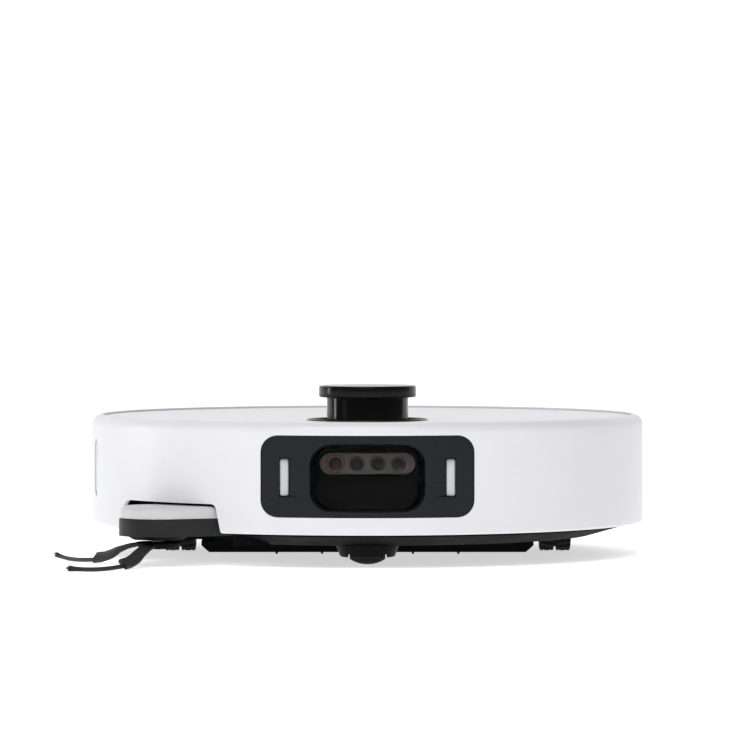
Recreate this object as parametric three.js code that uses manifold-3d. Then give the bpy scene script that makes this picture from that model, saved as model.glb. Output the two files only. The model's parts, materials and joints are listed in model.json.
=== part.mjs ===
// Robot vacuum and mop: a round body on two driven wheels and a front caster, with a sprung front
// bumper, a lidar turret that retracts, a side brush on a swing-out arm, a segmented main brush,
// two lifting mop pads, and a lift-off top cover over the dust bin.
// Millimetres, +Z up, front towards -Y. Heights in this file are measured from the floor, and the
// whole model is lowered at the end so that z = 0 is the flat underside, on the body's axis.
import * as THREE from 'three';
import { mergeVertices } from 'three/addons/utils/BufferGeometryUtils.js';
import Module from 'manifold-3d';

const wasm = await Module();
wasm.setup();

// ---------------------------------------------------------------- driving dimensions
// Body
const BODY_R = 175; // outer radius of the bumper and rear shell
const BODY_TOP = 88.7; // top of the rim
const SKIRT_Z = 20.5; // lower edge of the bumper and rear shell
const UNDERSIDE_Z = 12.5; // ground clearance of the flat underside
const WALL = 2.5; // moulded wall of the outer shells and the chassis
const PLATE = 2.5; // thickness of the chassis floor and the deck
const FIT = 0.4; // gap between pieces that touch
const EDGE = 0.6; // small bevel on a visible edge
const RIM = { w: 7, fillet: 6.5, lip: 1, step: 2.2, gap: 0.3 }; // rim round the top cover
const FLANGE_T = 2.2; // inward flange at the lower edge of the shells
const BUMPER = { travel: 2.2, end: 6, gap: 1 }; // end: where it meets the rear shell, along Y
const CHASSIS_INSET = 10; // from the outside of the body to the chassis wall
const CHAMFER = { run: 23, rise: 6.5, wallRise: 1.4, wallRun: 1 }; // round the edge of the underside
const CHASSIS_H = 37.1; // from the underside to the top of the chassis wall
const COVER_T = 2.4;

// Facets round a circle
const ROUND = 48; // of the whole body
const MID_ROUND = 36; // of the turret and the mops
const SMALL_ROUND = 20;
const PIN_ROUND = 12;

// Front sensors, which sit in and behind the bumper
const PANEL = { w: 128.8, h: 49, r: 10, z: 55.9, t: 6 };
const WINDOW_HOLE = { w: 70, h: 40.6, r: 13 };
const WINDOW = { w: 62.8, h: 38, r: 11, z: 55.1, inset: 7.5, t: 1.8 };
const LENS_BAR = { w: 57.7, h: 13.4, r: 6.5, z: 63.4, t: 5, face: 11.6 };
const LENS = { xs: [-19.2, -6.3, 6.2, 18.7], r: 3.6, seat: 4.6, depth: 1.6 };
const CAMERA_BACK = 27; // back of the camera housing, from the outside of the body
const CAMERA_SPACE = { side: 4.6, behind: 8 };
const LED = { w: 5.3, h: 22.6, x: 50.4, z: 55.2, t: 2.4, sink: 1.2, run: 7.2 };
const WALL_SENSOR = { angle: 77, w: 13, h: 35, z: 56, t: 4.4, sink: EDGE };
const CLIFF_SENSORS = [['front_left', 54, -119], ['front_right', -40, -113]];
const CLIFF = { w: 14, d: 8, t: 4.6, sink: 0.4 };

// Back of the shell
const CONTACT = { w: 16, h: 9, r: 1.8, z: 34, angle: 12, t: 4, proud: 0.2 };
const VENT = { count: 7, w: 3, h: 22, z: 52, angle: -128, step: 2.6 };

// Lidar turret
const TURRET = { inset: 87, rise: 20.2, travel: 20 }; // inset: its axis, from the front of the body
const CAP = { r: 30.1, h: 7.2 };
const NECK = { r: 25.2, h: 34, wall: 1.8 };
const CARRIAGE_T = 4;
const WELL = { gap: 0.9, wall: 2.4, spare: 0.8 };
const DISH = { w: 7.3, lip: 1, proud: 0.2 }; // the dished ring round the turret
const ROTOR = { gap: 5.2, spindle: 4, h: 6, low: 1.6, drop: 2 };
const ROTOR_WINDOW = { x: [3, 14], front: 4, back: 6, h: 14, head: 6 };
const BUTTON = { x: 13, behind: 52, r: 6, stem: 3.6, gap: 0.5, lift: 1.2, travel: 0.8 };

// Side brush arm. Angles in plan are from the front towards the robot's right; the heading is from +X.
const ARM = { inset: 30.5, angle: 33.14, length: 50.67, heading: 196.04, swing: 52 };
const ARM_R = [18.2, 24]; // pivot end and brush end, in plan
const ARM_Z = [18.6, 29, 36.6]; // underside, joint line and top
const ARM_WALL = 2;
const ARM_BOSS = { r: 16, low: 20, t: 2.4 };
const ARM_BEVEL = 3;
const BAY = { gap: 1.2, wall: 2, roof: 3, collar: 6.4, boss: 11, bossH: 6 };
const NOTCH = { offset: 41.9, top: 38.2, lean: 7.5, left: 44.5, right: 52.8, r: 4 };
const GEAR = { module: 1.635, teeth: [16, 15, 16], z0: 22.4, z1: 26.4 };
const DRIVE_SHAFT = { r: 2.5, z0: 19, z1: 60 };
const IDLER_POST = { r: 2.4, bore: 2.8 };
const BRUSH_SHAFT = { r: 4, z0: 15 };
const SIDE_MOTOR = { r: 12, h: 19.6 };
const HUB = { r: 14, z0: 10.6, z1: 14.6, bevel: 3 };
const LEG = { r0: 14.6, r1: 46, z: 12.6, w: 8, t: 2.6 };
const TUFT = { r0: 46.6, r1: 91, r: 1.3, z: 1.9, least: 2 };
const LEGS = [
  { name: 'side', start: 154, end: 137, foot: 3.4, tip: 3.2 },
  { name: 'front', start: 250, end: 234, foot: 2.6, tip: 3 },
];
const LEG_FALL = [0, 0.1, 0.35, 0.7, 0.92, 1]; // how far a leg has come down, along its length

// Main brush
const BRUSH = { y: -44, r: 18.5, clear: 1.2, segments: 6, pitch: 28.4, gap: 2.6, fins: 6, fin: 2.2 };
const BRUSH_CORE = { depth: 7, root: 3.5, end: 1, journal: 5, journalL: 5 };
const CHAMBER = { gap: 1.6, wall: 6.5, roof: 3, inset: 4 };
const GUARD = { x: 98.4, flare: 4.8, front: 17.5, back: 16.5, z0: 5, z1: 9.2, gap: 1 };
const TINE = { w: 1.4, drop: 2, t: 2.8, reach: 2 };
const BRUSH_MOTOR = { x0: 66, x1: 108, r: 9, y: 2, rise: 10.8 };
const DUCT = { x: 27, wall: 3, mouth: 4, front: 6, back: 14, top: 3, rise: 0.5, inlet: 11 };

// Wheels
const WHEEL = { x: 120, y: 24, r: 36, w: 20, sides: 30 };
const TYRE = { depth: 7, groove: 1.4, grooveDepth: 2.5 };
const HUB_DISH = { rim: 4, web: 1, back: 4, bore: 0.3, inset: 1 };
const SWING_PIVOT = { y: 62, z: 40, r: 4, x0: 85.5, x1: 110 };
const GEARBOX = { over: 1.8, x0: 88, x1: 107, h: 32, front: 8, step: 42, end: 8 };
const GEARBOX_ARM = { rise: 6, drop: 6 };
const GEARBOX_SHAFT = { r: 4, stub: 7 };
const WHEEL_WELL = { x: 84, gap: 4, droop: 2.5, shelf: 1, end: 16, box: 10 };
const CASTER = { inset: 53, r: 13, w: 22, crown: 20, axle: 1.4, axleL: 2.8 };
const SWIVEL = { r: 20, low: 16.5, z0: 4.8, side: 24, shoulder: 30, slope: 5, stem: 4, top: 38 };
const SOCKET = { gap: 1.4, wall: 3.2, top: 34, roof: 3, fit: 0.5 };

// Mops and tank
const MOP = { r: 56, gap: 12, inset: 3, z: 10.5, pad: 5.5, plate: 2.6, lip: 3, shaft: 5, shaftTop: 52 };
const MOP_POCKET = { gap: 2.5, wall: 2.5, roof: 2.2, over: 1, hole: 1 };
const YOKE = { behind: 17.5, w: 8, z0: 45, h: 11, boss: 11, rib: 2 };
const TANK = { x: 56, gap: 0.5, inset: 7, z0: 34, z1: 64 };

// Dust bin, fan and battery
const BIN = { x: 66, y0: -20, y1: 54, z0: 46, wall: 2, lid: 8, drop: 4.6, gap: 2 };
const BIN_PORT = { x: 21, low: 12, high: 12 };
const BIN_GRIP = { x: 22, inset: 22, depth: 4 };
const FILTER = { x: 24, t: 8, back: 4, low: 5 };
const FAN = { behind: 30, r: 26, wall: 4, z0: 28, floor: 6, drop: 10, blades: 5, sides: 28 };
const FAN_INLET = { x: 20, h: 12, gap: 1, end: 12 };
const IMPELLER = { r: 19, hub: 6, drop: 34, h: 24, nose: 4, plate: 3, lift: 8 };
const BLADE = { h: 10, t: 1.6, root: 1 };
const BATTERY = { x: 72, y0: -8.5, y1: 33, z1: 40 };
const HATCH = { x: 50, y0: -8, y1: 32 };

// ---------------------------------------------------------------- sizes that follow from those
const RIM_R = BODY_R - RIM.w;
const CHASSIS_R = BODY_R - CHASSIS_INSET;
const CHASSIS_TOP = UNDERSIDE_Z + CHASSIS_H;
const COVER_TOP = BODY_TOP - RIM.lip - RIM.gap;
const COVER_R = RIM_R - 2 * FIT;
const DECK_TOP = COVER_TOP - COVER_T - FIT;
const DECK_LOW = DECK_TOP - PLATE;
const ABOVE_ALL = BODY_TOP + 1; // past the top of the body, for cuts
const OVERSHOOT = 5; // how far a cut runs past the outside of the body
const PAST_WALL = BODY_R + OVERSHOOT;
const WELL_INSIDE = CHASSIS_R / 2; // well inside the wall, where a cut through it starts

const WINDOW_TOP = WINDOW.z + WINDOW.h / 2;
const WINDOW_LOW = WINDOW.z - WINDOW.h / 2;
const WINDOW_Y = BODY_R - WINDOW.inset;

const TURRET_AT = [0, TURRET.inset - BODY_R];
const TURRET_TOP = BODY_TOP + TURRET.rise;
const CAP_LOW = TURRET_TOP - CAP.h;
const NECK_LOW = CAP_LOW - NECK.h;
const WELL_R = CAP.r + WELL.gap;
const WELL_OUT = WELL_R + WELL.wall;
const DISH_R = CAP.r + DISH.w;
const BUTTON_Y = TURRET_AT[1] + BUTTON.behind;

const rad = THREE.MathUtils.degToRad;
const deg = THREE.MathUtils.radToDeg;
const polar = (r, degrees) => [r * Math.cos(rad(degrees)), r * Math.sin(rad(degrees))];
const ARM_PIVOT = polar(BODY_R - ARM.inset, -90 - ARM.angle);
const ARM_TIP = polar(ARM.length, ARM.heading).map((v, i) => v + ARM_PIVOT[i]);
const BAY_TOP = NOTCH.top;

const BRUSH_Z = BRUSH.clear + BRUSH.r;
const BRUSH_AXIS = [BRUSH.y, BRUSH_Z];
const BRUSH_L = BRUSH.segments * BRUSH.pitch;
const CORE_R = BRUSH.r - BRUSH_CORE.depth;
const CHAMBER_X = GUARD.x - CHAMBER.inset;
const CHAMBER_TOP = BRUSH_Z + BRUSH.r + CHAMBER.roof;
const BRUSH_MOUTH = BRUSH.r + GUARD.gap; // half the mouth, along Y

const MOP_X = MOP.r + MOP.gap / 2;
const MOP_Y = Math.sqrt((BODY_R - MOP.inset - MOP.r) ** 2 - MOP_X ** 2);
const MOP_PLATE_Z = MOP.z + MOP.pad + FIT;
const MOP_CEILING = MOP_PLATE_Z + MOP.plate + MOP_POCKET.over;
const MOP_ROOF = MOP_CEILING + MOP_POCKET.roof;
const MOP_AXES = [-1, 1].map((side) => [side * MOP_X, MOP_Y]);
const YOKE_BACK = MOP_Y + YOKE.behind;
const GEARBOX_Z = MOP_ROOF + GEARBOX.over;

const CASTER_AT = [0, CASTER.inset - BODY_R];
const BIN_TOP = DECK_TOP - BIN.drop;
const FAN_AT = [0, BIN.y1 + FAN.behind];
const FAN_TOP = BIN_TOP - FAN.drop;
const IMPELLER_Z = FAN_TOP - IMPELLER.drop;

// ---------------------------------------------------------------- materials
const plastic = (color, roughness = 0.45) =>
  new THREE.MeshStandardMaterial({ color, roughness, metalness: 0 });
const metal = (color, roughness) =>
  new THREE.MeshStandardMaterial({ color, roughness, metalness: 1 });
const MATERIALS = {
  white: plastic(0xecebf0, 0.35),
  dark: plastic(0x24282b, 0.5),
  black: plastic(0x0c0d0e, 0.12),
  smoked: plastic(0x141516, 0.08),
  grey: plastic(0x6f7276, 0.5),
  rubber: plastic(0x1c1e20, 0.8),
  bristle: plastic(0x2a2c2e, 0.7),
  led: plastic(0xcfd3d6, 0.3),
  cloth: plastic(0x8d9196, 0.95),
  bronze: metal(0x5a4638, 0.35),
  steel: metal(0xb8bcc0, 0.3),
};

// ---------------------------------------------------------------- helpers
const moved = (x, y, z) => new THREE.Matrix4().makeTranslation(x, y, z);
const turned = (degrees) => new THREE.Matrix4().makeRotationZ(rad(degrees));
const joined = (first, ...rest) => rest.reduce((all, next) => all.add(next), first);
const cut = (body, ...tools) => tools.reduce((all, next) => all.subtract(next), body);
// Two values mirrored to one side of the robot, lowest first.
const across = (side, a, b) => [a, b].map((x) => side * x).sort((p, q) => p - q);

// A closed geometry as a manifold-3d solid, moved by a matrix, facing out whichever way it was wound.
function solid(geometry, matrix = new THREE.Matrix4()) {
  const loose = geometry.index ? geometry.toNonIndexed() : geometry;
  const bare = new THREE.BufferGeometry();
  bare.setAttribute('position', loose.getAttribute('position').clone());
  const merged = mergeVertices(bare.applyMatrix4(matrix), 1e-4);
  const vertProperties = merged.attributes.position.array;
  const faces = new Uint32Array(merged.index.array);
  const made = (triVerts) => new wasm.Manifold(new wasm.Mesh({ numProp: 3, vertProperties, triVerts }));
  const asWound = made(faces);
  return asWound.volume() > 0 ? asWound : made(faces.slice().reverse());
}

// An upright box between two corners.
function box([x0, y0, z0], [x1, y1, z1]) {
  const centre = moved((x0 + x1) / 2, (y0 + y1) / 2, (z0 + z1) / 2);
  return solid(new THREE.BoxGeometry(x1 - x0, y1 - y0, z1 - z0), centre);
}

// An upright cylinder, or a cone where rTop differs, on an axis at [x, y].
function disc([x, y], r, z0, z1, { rTop = r, sides = SMALL_ROUND } = {}) {
  const g = new THREE.CylinderGeometry(rTop, r, z1 - z0, sides).rotateX(Math.PI / 2);
  return solid(g, moved(x, y, (z0 + z1) / 2));
}

// A cylinder along X, turned about its own axis by `turn` radians.
function bar(x0, x1, [y, z], r, sides = SMALL_ROUND, turn = 0) {
  const g = new THREE.CylinderGeometry(r, r, x1 - x0, sides).rotateZ(Math.PI / 2).rotateX(turn);
  return solid(g, moved((x0 + x1) / 2, y, z));
}

const closedLoop = (points) => [...points, points[0]].map(([r, h]) => new THREE.Vector2(r, h));

// A closed profile of [radius, height] turned round the vertical axis at [x, y].
function turnedProfile(points, [x, y] = [0, 0], sides = ROUND) {
  return solid(new THREE.LatheGeometry(closedLoop(points), sides).rotateX(Math.PI / 2), moved(x, y, 0));
}

// A flat shape in plan, raised between two heights.
function prism(shape, z0, z1, curveSegments = 6) {
  const g = new THREE.ExtrudeGeometry(shape, { depth: z1 - z0, bevelEnabled: false, curveSegments });
  return solid(g, moved(0, 0, z0));
}

// A shape drawn in X and Z, seen from the front, pushed through the wall between two radii, at an
// angle round the body.
function frontPrism(shape, r0, r1, z, angle = 0, curveSegments = 3) {
  const g = new THREE.ExtrudeGeometry(shape, { depth: r1 - r0, bevelEnabled: false, curveSegments });
  return solid(g.rotateX(Math.PI / 2), turned(-angle).multiply(moved(0, -r0, z)));
}

// A shape swept along a curve.
function swept(shape, curve, steps, curveSegments = 3) {
  const options = { steps, bevelEnabled: false, extrudePath: curve, curveSegments };
  return solid(new THREE.ExtrudeGeometry(shape, options));
}

// Points along an arc, for turned profiles.
function arcPoints(cx, cy, r, from, to, steps) {
  return Array.from({ length: steps + 1 }, (_, i) => {
    const [dx, dy] = polar(r, from + ((to - from) * i) / steps);
    return [cx + dx, cy + dy];
  });
}

function rectangle(w, h) {
  const s = new THREE.Shape();
  s.moveTo(-w / 2, -h / 2);
  s.lineTo(w / 2, -h / 2);
  s.lineTo(w / 2, h / 2);
  s.lineTo(-w / 2, h / 2);
  return s;
}

function roundedRect(w, h, r) {
  const [x, y] = [w / 2 - r, h / 2 - r];
  const s = new THREE.Shape();
  s.absarc(x, -y, r, -Math.PI / 2, 0);
  s.absarc(x, y, r, 0, Math.PI / 2);
  s.absarc(-x, y, r, Math.PI / 2, Math.PI);
  s.absarc(-x, -y, r, Math.PI, 1.5 * Math.PI);
  return s;
}

// The slot with rounded ends that fits round a piece of the same kind.
const roundedSlot = (w, h, r, gap = 0) => roundedRect(w + 2 * gap, h + 2 * gap, r + gap);

// Two circles joined by their outer tangents, as the arm is in plan.
function capsule([ax, ay], ra, [bx, by], rb) {
  const along = Math.atan2(by - ay, bx - ax);
  const lean = Math.acos((ra - rb) / Math.hypot(bx - ax, by - ay));
  const s = new THREE.Shape();
  s.absarc(bx, by, rb, along - lean, along + lean);
  s.absarc(ax, ay, ra, along + lean, along - lean + 2 * Math.PI);
  return s;
}

// The arm's outline, grown by a margin, with its brush end at a point.
const armOutline = (margin, tip = ARM_TIP) =>
  capsule(ARM_PIVOT, ARM_R[0] + margin, tip, ARM_R[1] + margin);

// The space the arm sweeps, grown by a margin: its two end places and the sector between them.
function armSweep(margin, z0, z1) {
  const stowedHeading = ARM.heading - ARM.swing;
  const stowed = polar(ARM.length, stowedHeading).map((v, i) => v + ARM_PIVOT[i]);
  const sector = new THREE.Shape();
  sector.moveTo(...ARM_PIVOT);
  sector.absarc(...ARM_PIVOT, ARM.length + ARM_R[1] + margin, rad(stowedHeading), rad(ARM.heading));
  const ends = [ARM_TIP, stowed].map((tip) => prism(armOutline(margin, tip), z0, z1));
  return joined(prism(sector, z0, z1), ...ends);
}

const robot = new THREE.Group();

// Adds a solid to the robot as a named mesh.
function piece(name, body, material) {
  const { vertProperties, numProp, numVert, triVerts } = body.getMesh();
  const position = new Float32Array(numVert * 3);
  for (let i = 0; i < numVert; i++) {
    position.set(vertProperties.subarray(i * numProp, i * numProp + 3), i * 3);
  }
  const g = new THREE.BufferGeometry().setAttribute('position', new THREE.BufferAttribute(position, 3));
  g.setIndex(new THREE.BufferAttribute(new Uint32Array(triVerts), 1));
  g.computeVertexNormals();
  const mesh = new THREE.Mesh(g, material);
  mesh.name = name;
  robot.add(mesh);
}

// ---------------------------------------------------------------- outer shells
// The full ring that the bumper and the rear shell are cut from.
function outerRing(flangeR) {
  const filletR = BODY_R - RIM.fillet;
  const filletZ = BODY_TOP - RIM.fillet;
  const lipLow = BODY_TOP - RIM.lip;
  const underLip = RIM_R + BUMPER.travel;
  return turnedProfile([
    [flangeR, SKIRT_Z],
    [BODY_R - EDGE, SKIRT_Z],
    [BODY_R, SKIRT_Z + EDGE],
    ...arcPoints(filletR, filletZ, RIM.fillet, 0, 90, 3),
    [RIM_R, BODY_TOP],
    [RIM_R, lipLow],
    [underLip, lipLow],
    [underLip, lipLow - RIM.step],
    [BODY_R - WALL, filletZ],
    [BODY_R - WALL, SKIRT_Z + FLANGE_T],
    [flangeR, SKIRT_Z + FLANGE_T],
  ]);
}

// The opening in the bumper that the side brush arm swings through, with leaning sides.
function notchShape() {
  const { top, lean, left, right, r } = NOTCH;
  const s = new THREE.Shape();
  s.moveTo(-left, SKIRT_Z - r);
  s.lineTo(right, SKIRT_Z - r);
  s.lineTo(right - lean + 1, top - r);
  s.quadraticCurveTo(right - lean, top, right - lean - r, top);
  s.lineTo(-left + lean + r, top);
  s.quadraticCurveTo(-left + lean, top, -left + lean - 1, top - r);
  return s;
}

function bumper() {
  const ring = outerRing(CHASSIS_R + BUMPER.travel + BUMPER.gap);
  const front = box([-PAST_WALL, -PAST_WALL, 0], [PAST_WALL, BUMPER.end, ABOVE_ALL]);
  const panelHole = frontPrism(roundedSlot(PANEL.w, PANEL.h, PANEL.r, FIT), WELL_INSIDE, PAST_WALL, PANEL.z);
  const { w, h, z, angle } = WALL_SENSOR;
  const sensorHole = frontPrism(roundedSlot(w, h, w / 2 - EDGE, FIT), WELL_INSIDE, PAST_WALL, z, angle);
  const notchAngle = ARM.angle + deg(Math.asin(NOTCH.offset / BODY_R));
  const notch = frontPrism(notchShape(), WELL_INSIDE, PAST_WALL, 0, notchAngle);
  piece('bumper', cut(ring.intersect(front), panelHole, sensorHole, notch), MATERIALS.white);
}

function rearShell() {
  const ring = outerRing(CHASSIS_R + FIT);
  const start = BUMPER.end + BUMPER.travel + BUMPER.gap;
  const rear = box([-PAST_WALL, start, 0], [PAST_WALL, PAST_WALL, ABOVE_ALL]);
  const { w, h, r, z, angle } = CONTACT;
  const contactHoles = [-1, 1].map((side) =>
    frontPrism(roundedSlot(w, h, r, FIT), WELL_INSIDE, PAST_WALL, z, 180 + side * angle));
  const vents = Array.from({ length: VENT.count }, (_, i) => {
    const at = VENT.angle + (i - (VENT.count - 1) / 2) * VENT.step;
    return frontPrism(rectangle(VENT.w, VENT.h), WELL_INSIDE, PAST_WALL, VENT.z, at);
  });
  piece('rear_shell', cut(ring.intersect(rear), ...contactHoles, ...vents), MATERIALS.white);
}

// The two metal plates that meet the charging dock, at the back.
function chargingContacts() {
  const { w, h, r, z, angle, t, proud } = CONTACT;
  for (const [name, side] of [['left', 1], ['right', -1]]) {
    const plate = frontPrism(roundedSlot(w, h, r), BODY_R - t, BODY_R + proud, z, 180 + side * angle);
    piece(`charging_contact_${name}`, plate, MATERIALS.steel);
  }
}

// ---------------------------------------------------------------- front sensors
// How far back the body's surface is at the outer edge of an LED pocket.
const LED_EDGE = LED.x + LED.w / 2 + FIT;
const LED_FACE = Math.sqrt(BODY_R ** 2 - LED_EDGE ** 2);

// The curved dark frame in the bumper, with the camera opening and the two LED pockets.
function sensorPanel() {
  const outline = frontPrism(roundedSlot(PANEL.w, PANEL.h, PANEL.r), WELL_INSIDE, PAST_WALL, PANEL.z);
  const curve = turnedProfile([
    [BODY_R - PANEL.t, 0],
    [BODY_R, 0],
    [BODY_R, ABOVE_ALL],
    [BODY_R - PANEL.t, ABOVE_ALL],
  ]);
  const hole = roundedSlot(WINDOW_HOLE.w, WINDOW_HOLE.h, WINDOW_HOLE.r);
  const opening = frontPrism(hole, WELL_INSIDE, PAST_WALL, WINDOW.z);
  piece('sensor_panel', cut(outline.intersect(curve), opening, ledPocket(-1), ledPocket(1)), MATERIALS.dark);
}

// A wedge-shaped pocket, deepest at the LED and running out towards the camera window.
function ledPocket(side) {
  const inner = LED.x - LED.w / 2 - FIT;
  const back = LED.t + LED.sink + FIT - LED_FACE;
  const rampLow = LED.sink - LED_FACE;
  const mouth = inner - LED.run;
  const rampRise = Math.sqrt(BODY_R ** 2 - mouth ** 2) + rampLow;
  const s = new THREE.Shape();
  s.moveTo(side * LED_EDGE, back);
  s.lineTo(side * inner, back);
  s.lineTo(side * inner, rampLow);
  s.lineTo(side * (mouth - LED.run), rampLow - 2 * rampRise);
  s.lineTo(side * LED_EDGE, rampLow - 2 * rampRise);
  return prism(s, LED.z - LED.h / 2 - FIT, LED.z + LED.h / 2 + FIT);
}

function ledBars() {
  const front = LED.sink - LED_FACE;
  for (const [name, side] of [['left', 1], ['right', -1]]) {
    const [x0, x1] = across(side, LED.x - LED.w / 2, LED.x + LED.w / 2);
    const bar = box([x0, front, LED.z - LED.h / 2], [x1, front + LED.t, LED.z + LED.h / 2]);
    piece(`led_bar_${name}`, bar, MATERIALS.led);
  }
}

function wallSensorWindow() {
  const { w, h, z, angle, t, sink } = WALL_SENSOR;
  const face = frontPrism(roundedSlot(w, h, w / 2 - EDGE), BODY_R - sink - t, PAST_WALL, z, angle);
  const inside = disc([0, 0], BODY_R - sink, 0, ABOVE_ALL, { sides: ROUND });
  piece('wall_sensor_window', face.intersect(inside), MATERIALS.smoked);
}

// The fixed camera behind the panel: its window, its housing and the strip of lenses.
function camera() {
  const outline = roundedSlot(WINDOW.w, WINDOW.h, WINDOW.r);
  const windowBack = WINDOW_Y - WINDOW.t;
  piece('camera_window', frontPrism(outline, windowBack, WINDOW_Y, WINDOW.z), MATERIALS.smoked);
  const stripFace = BODY_R - LENS_BAR.face;
  const stripBack = stripFace - LENS_BAR.t;
  const pocket = frontPrism(
    roundedSlot(LENS_BAR.w, LENS_BAR.h, LENS_BAR.r, FIT), stripBack - FIT, PAST_WALL, LENS_BAR.z,
  );
  const housing = frontPrism(outline, BODY_R - CAMERA_BACK, windowBack - FIT, WINDOW.z);
  piece('camera_housing', cut(housing, pocket), MATERIALS.black);
  const strip = frontPrism(roundedSlot(LENS_BAR.w, LENS_BAR.h, LENS_BAR.r), stripBack, stripFace, LENS_BAR.z);
  const lensRow = (r, r0, r1) => LENS.xs.map((x) => {
    const g = new THREE.CylinderGeometry(r, r, r1 - r0, PIN_ROUND);
    return solid(g, moved(x, -(r0 + r1) / 2, LENS_BAR.z));
  });
  const seated = cut(strip, ...lensRow(LENS.seat, stripFace - LENS.depth, stripFace + 1));
  const bar = joined(seated, ...lensRow(LENS.r, stripFace - LENS.depth - 1, stripFace));
  piece('lens_bar', bar, MATERIALS.black);
}

function cliffSensors() {
  const { w, d, t, sink } = CLIFF;
  for (const [name, x, y] of CLIFF_SENSORS) {
    const low = [x - w / 2, y - d / 2, UNDERSIDE_Z + sink];
    const lens = box(low, [x + w / 2, y + d / 2, UNDERSIDE_Z + sink + t]);
    piece(`cliff_sensor_${name}`, lens, MATERIALS.smoked);
  }
}

// ---------------------------------------------------------------- chassis and deck
function chassis() {
  const inside = disc([0, 0], CHASSIS_R, UNDERSIDE_Z, CHASSIS_TOP, { sides: ROUND });
  const armBay = armSweep(BAY.gap + BAY.wall, UNDERSIDE_Z, BAY_TOP + BAY.roof).intersect(inside);
  const pivotBoss = disc(ARM_PIVOT, BAY.boss, BAY_TOP, BAY_TOP + BAY.bossH);
  const pocketR = MOP.r + MOP_POCKET.gap;
  const mopWalls = MOP_AXES.map((at) =>
    disc(at, pocketR + MOP_POCKET.wall, UNDERSIDE_Z, MOP_ROOF, { sides: MID_ROUND }).intersect(inside));
  const chamberY = BRUSH.r + CHAMBER.wall;
  const chamber = box(
    [-CHAMBER_X - WALL, BRUSH.y - chamberY, UNDERSIDE_Z],
    [CHAMBER_X + WALL, BRUSH.y + chamberY, CHAMBER_TOP],
  );
  const walls = joined(chassisTray(), armBay, ...mopWalls, chamber, pivotBoss);
  const open = cut(
    walls,
    ...MOP_AXES.map((at) => disc(at, pocketR, 0, MOP_CEILING, { sides: MID_ROUND })),
    ...MOP_AXES.map((at) => disc(at, MOP.shaft + MOP_POCKET.hole, MOP_CEILING - 1, CHASSIS_TOP)),
    wheelWell(-1),
    wheelWell(1),
    ...brushTunnel(),
    ...chassisHoles(),
    armSweep(BAY.gap, 0, BAY_TOP),
  );
  const shaftHole = disc(ARM_PIVOT, DRIVE_SHAFT.r + 0.5, 0, ABOVE_ALL);
  const collar = disc(ARM_PIVOT, BAY.collar, ARM_Z[2] - BAY.roof, BAY_TOP + 1);
  piece('chassis', cut(open.add(collar), shaftHole), MATERIALS.dark);
}

// The round tray with its chamfered lower edge.
function chassisTray() {
  const flatR = CHASSIS_R - CHAMFER.run;
  const chamferTop = UNDERSIDE_Z + CHAMFER.rise;
  const wallR = CHASSIS_R - WALL;
  return turnedProfile([
    [0, UNDERSIDE_Z],
    [flatR, UNDERSIDE_Z],
    [CHASSIS_R, chamferTop],
    [CHASSIS_R, CHASSIS_TOP],
    [wallR, CHASSIS_TOP],
    [wallR, chamferTop + CHAMFER.wallRise],
    [flatR - CHAMFER.wallRun, UNDERSIDE_Z + PLATE],
    [0, UNDERSIDE_Z + PLATE],
  ]);
}

// The brush's tunnel, its open mouth and the way up into the suction duct.
function brushTunnel() {
  const mouthY = BRUSH_MOUTH;
  const ductX = DUCT.x - DUCT.wall;
  return [
    bar(-CHAMBER_X, CHAMBER_X, BRUSH_AXIS, BRUSH.r + CHAMBER.gap, 16),
    box([-CHAMBER_X, BRUSH.y - mouthY, 0], [CHAMBER_X, BRUSH.y + mouthY, BRUSH_Z]),
    box([-ductX, BRUSH.y - DUCT.mouth, BRUSH_Z], [ductX, BRUSH.y + DUCT.back, CHASSIS_TOP]),
  ];
}

// Openings for the caster, the battery hatch, the camera and the cliff sensors.
function chassisHoles() {
  const floorTop = UNDERSIDE_Z + CHAMFER.rise + 2;
  const socketR = SWIVEL.r + SOCKET.gap + SOCKET.wall + SOCKET.fit;
  const gap = (CLIFF.w + 2 * FIT) / 2;
  const depth = (CLIFF.d + 2 * FIT) / 2;
  return [
    disc(CASTER_AT, socketR, 0, floorTop, { sides: MID_ROUND }),
    box([-HATCH.x - FIT, HATCH.y0 - FIT, 0], [HATCH.x + FIT, HATCH.y1 + FIT, floorTop]),
    box(...cameraSpace(WINDOW_LOW - 1, ABOVE_ALL)),
    ...CLIFF_SENSORS.map(([, x, y]) => box([x - gap, y - depth, 0], [x + gap, y + depth, floorTop])),
  ];
}

// The corners of the space kept clear round the camera, between two heights.
function cameraSpace(z0, z1) {
  const x = WINDOW.w / 2 + CAMERA_SPACE.side;
  return [[-x, -PAST_WALL, z0], [x, CAMERA_BACK + CAMERA_SPACE.behind - BODY_R, z1]];
}

// The opening in the chassis floor for one wheel, with a shelf over the mop for the gearbox arm.
function wheelWell(side) {
  const { x, gap, droop, shelf, end, box: boxGap } = WHEEL_WELL;
  const outer = WHEEL.x + WHEEL.w / 2 + gap;
  const front = WHEEL.y - WHEEL.r - gap;
  const [x0, x1] = across(side, x, outer);
  const [w0, w1] = across(side, GEARBOX.x1 + 1, outer);
  return joined(
    box([x0, front, 0], [x1, GEARBOX.step + boxGap, ABOVE_ALL]),
    box([w0, front, 0], [w1, WHEEL.y + WHEEL.r + gap + droop, ABOVE_ALL]),
    box([x0, front, GEARBOX_Z - shelf], [x1, SWING_PIVOT.y + end, ABOVE_ALL]),
  );
}

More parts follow.
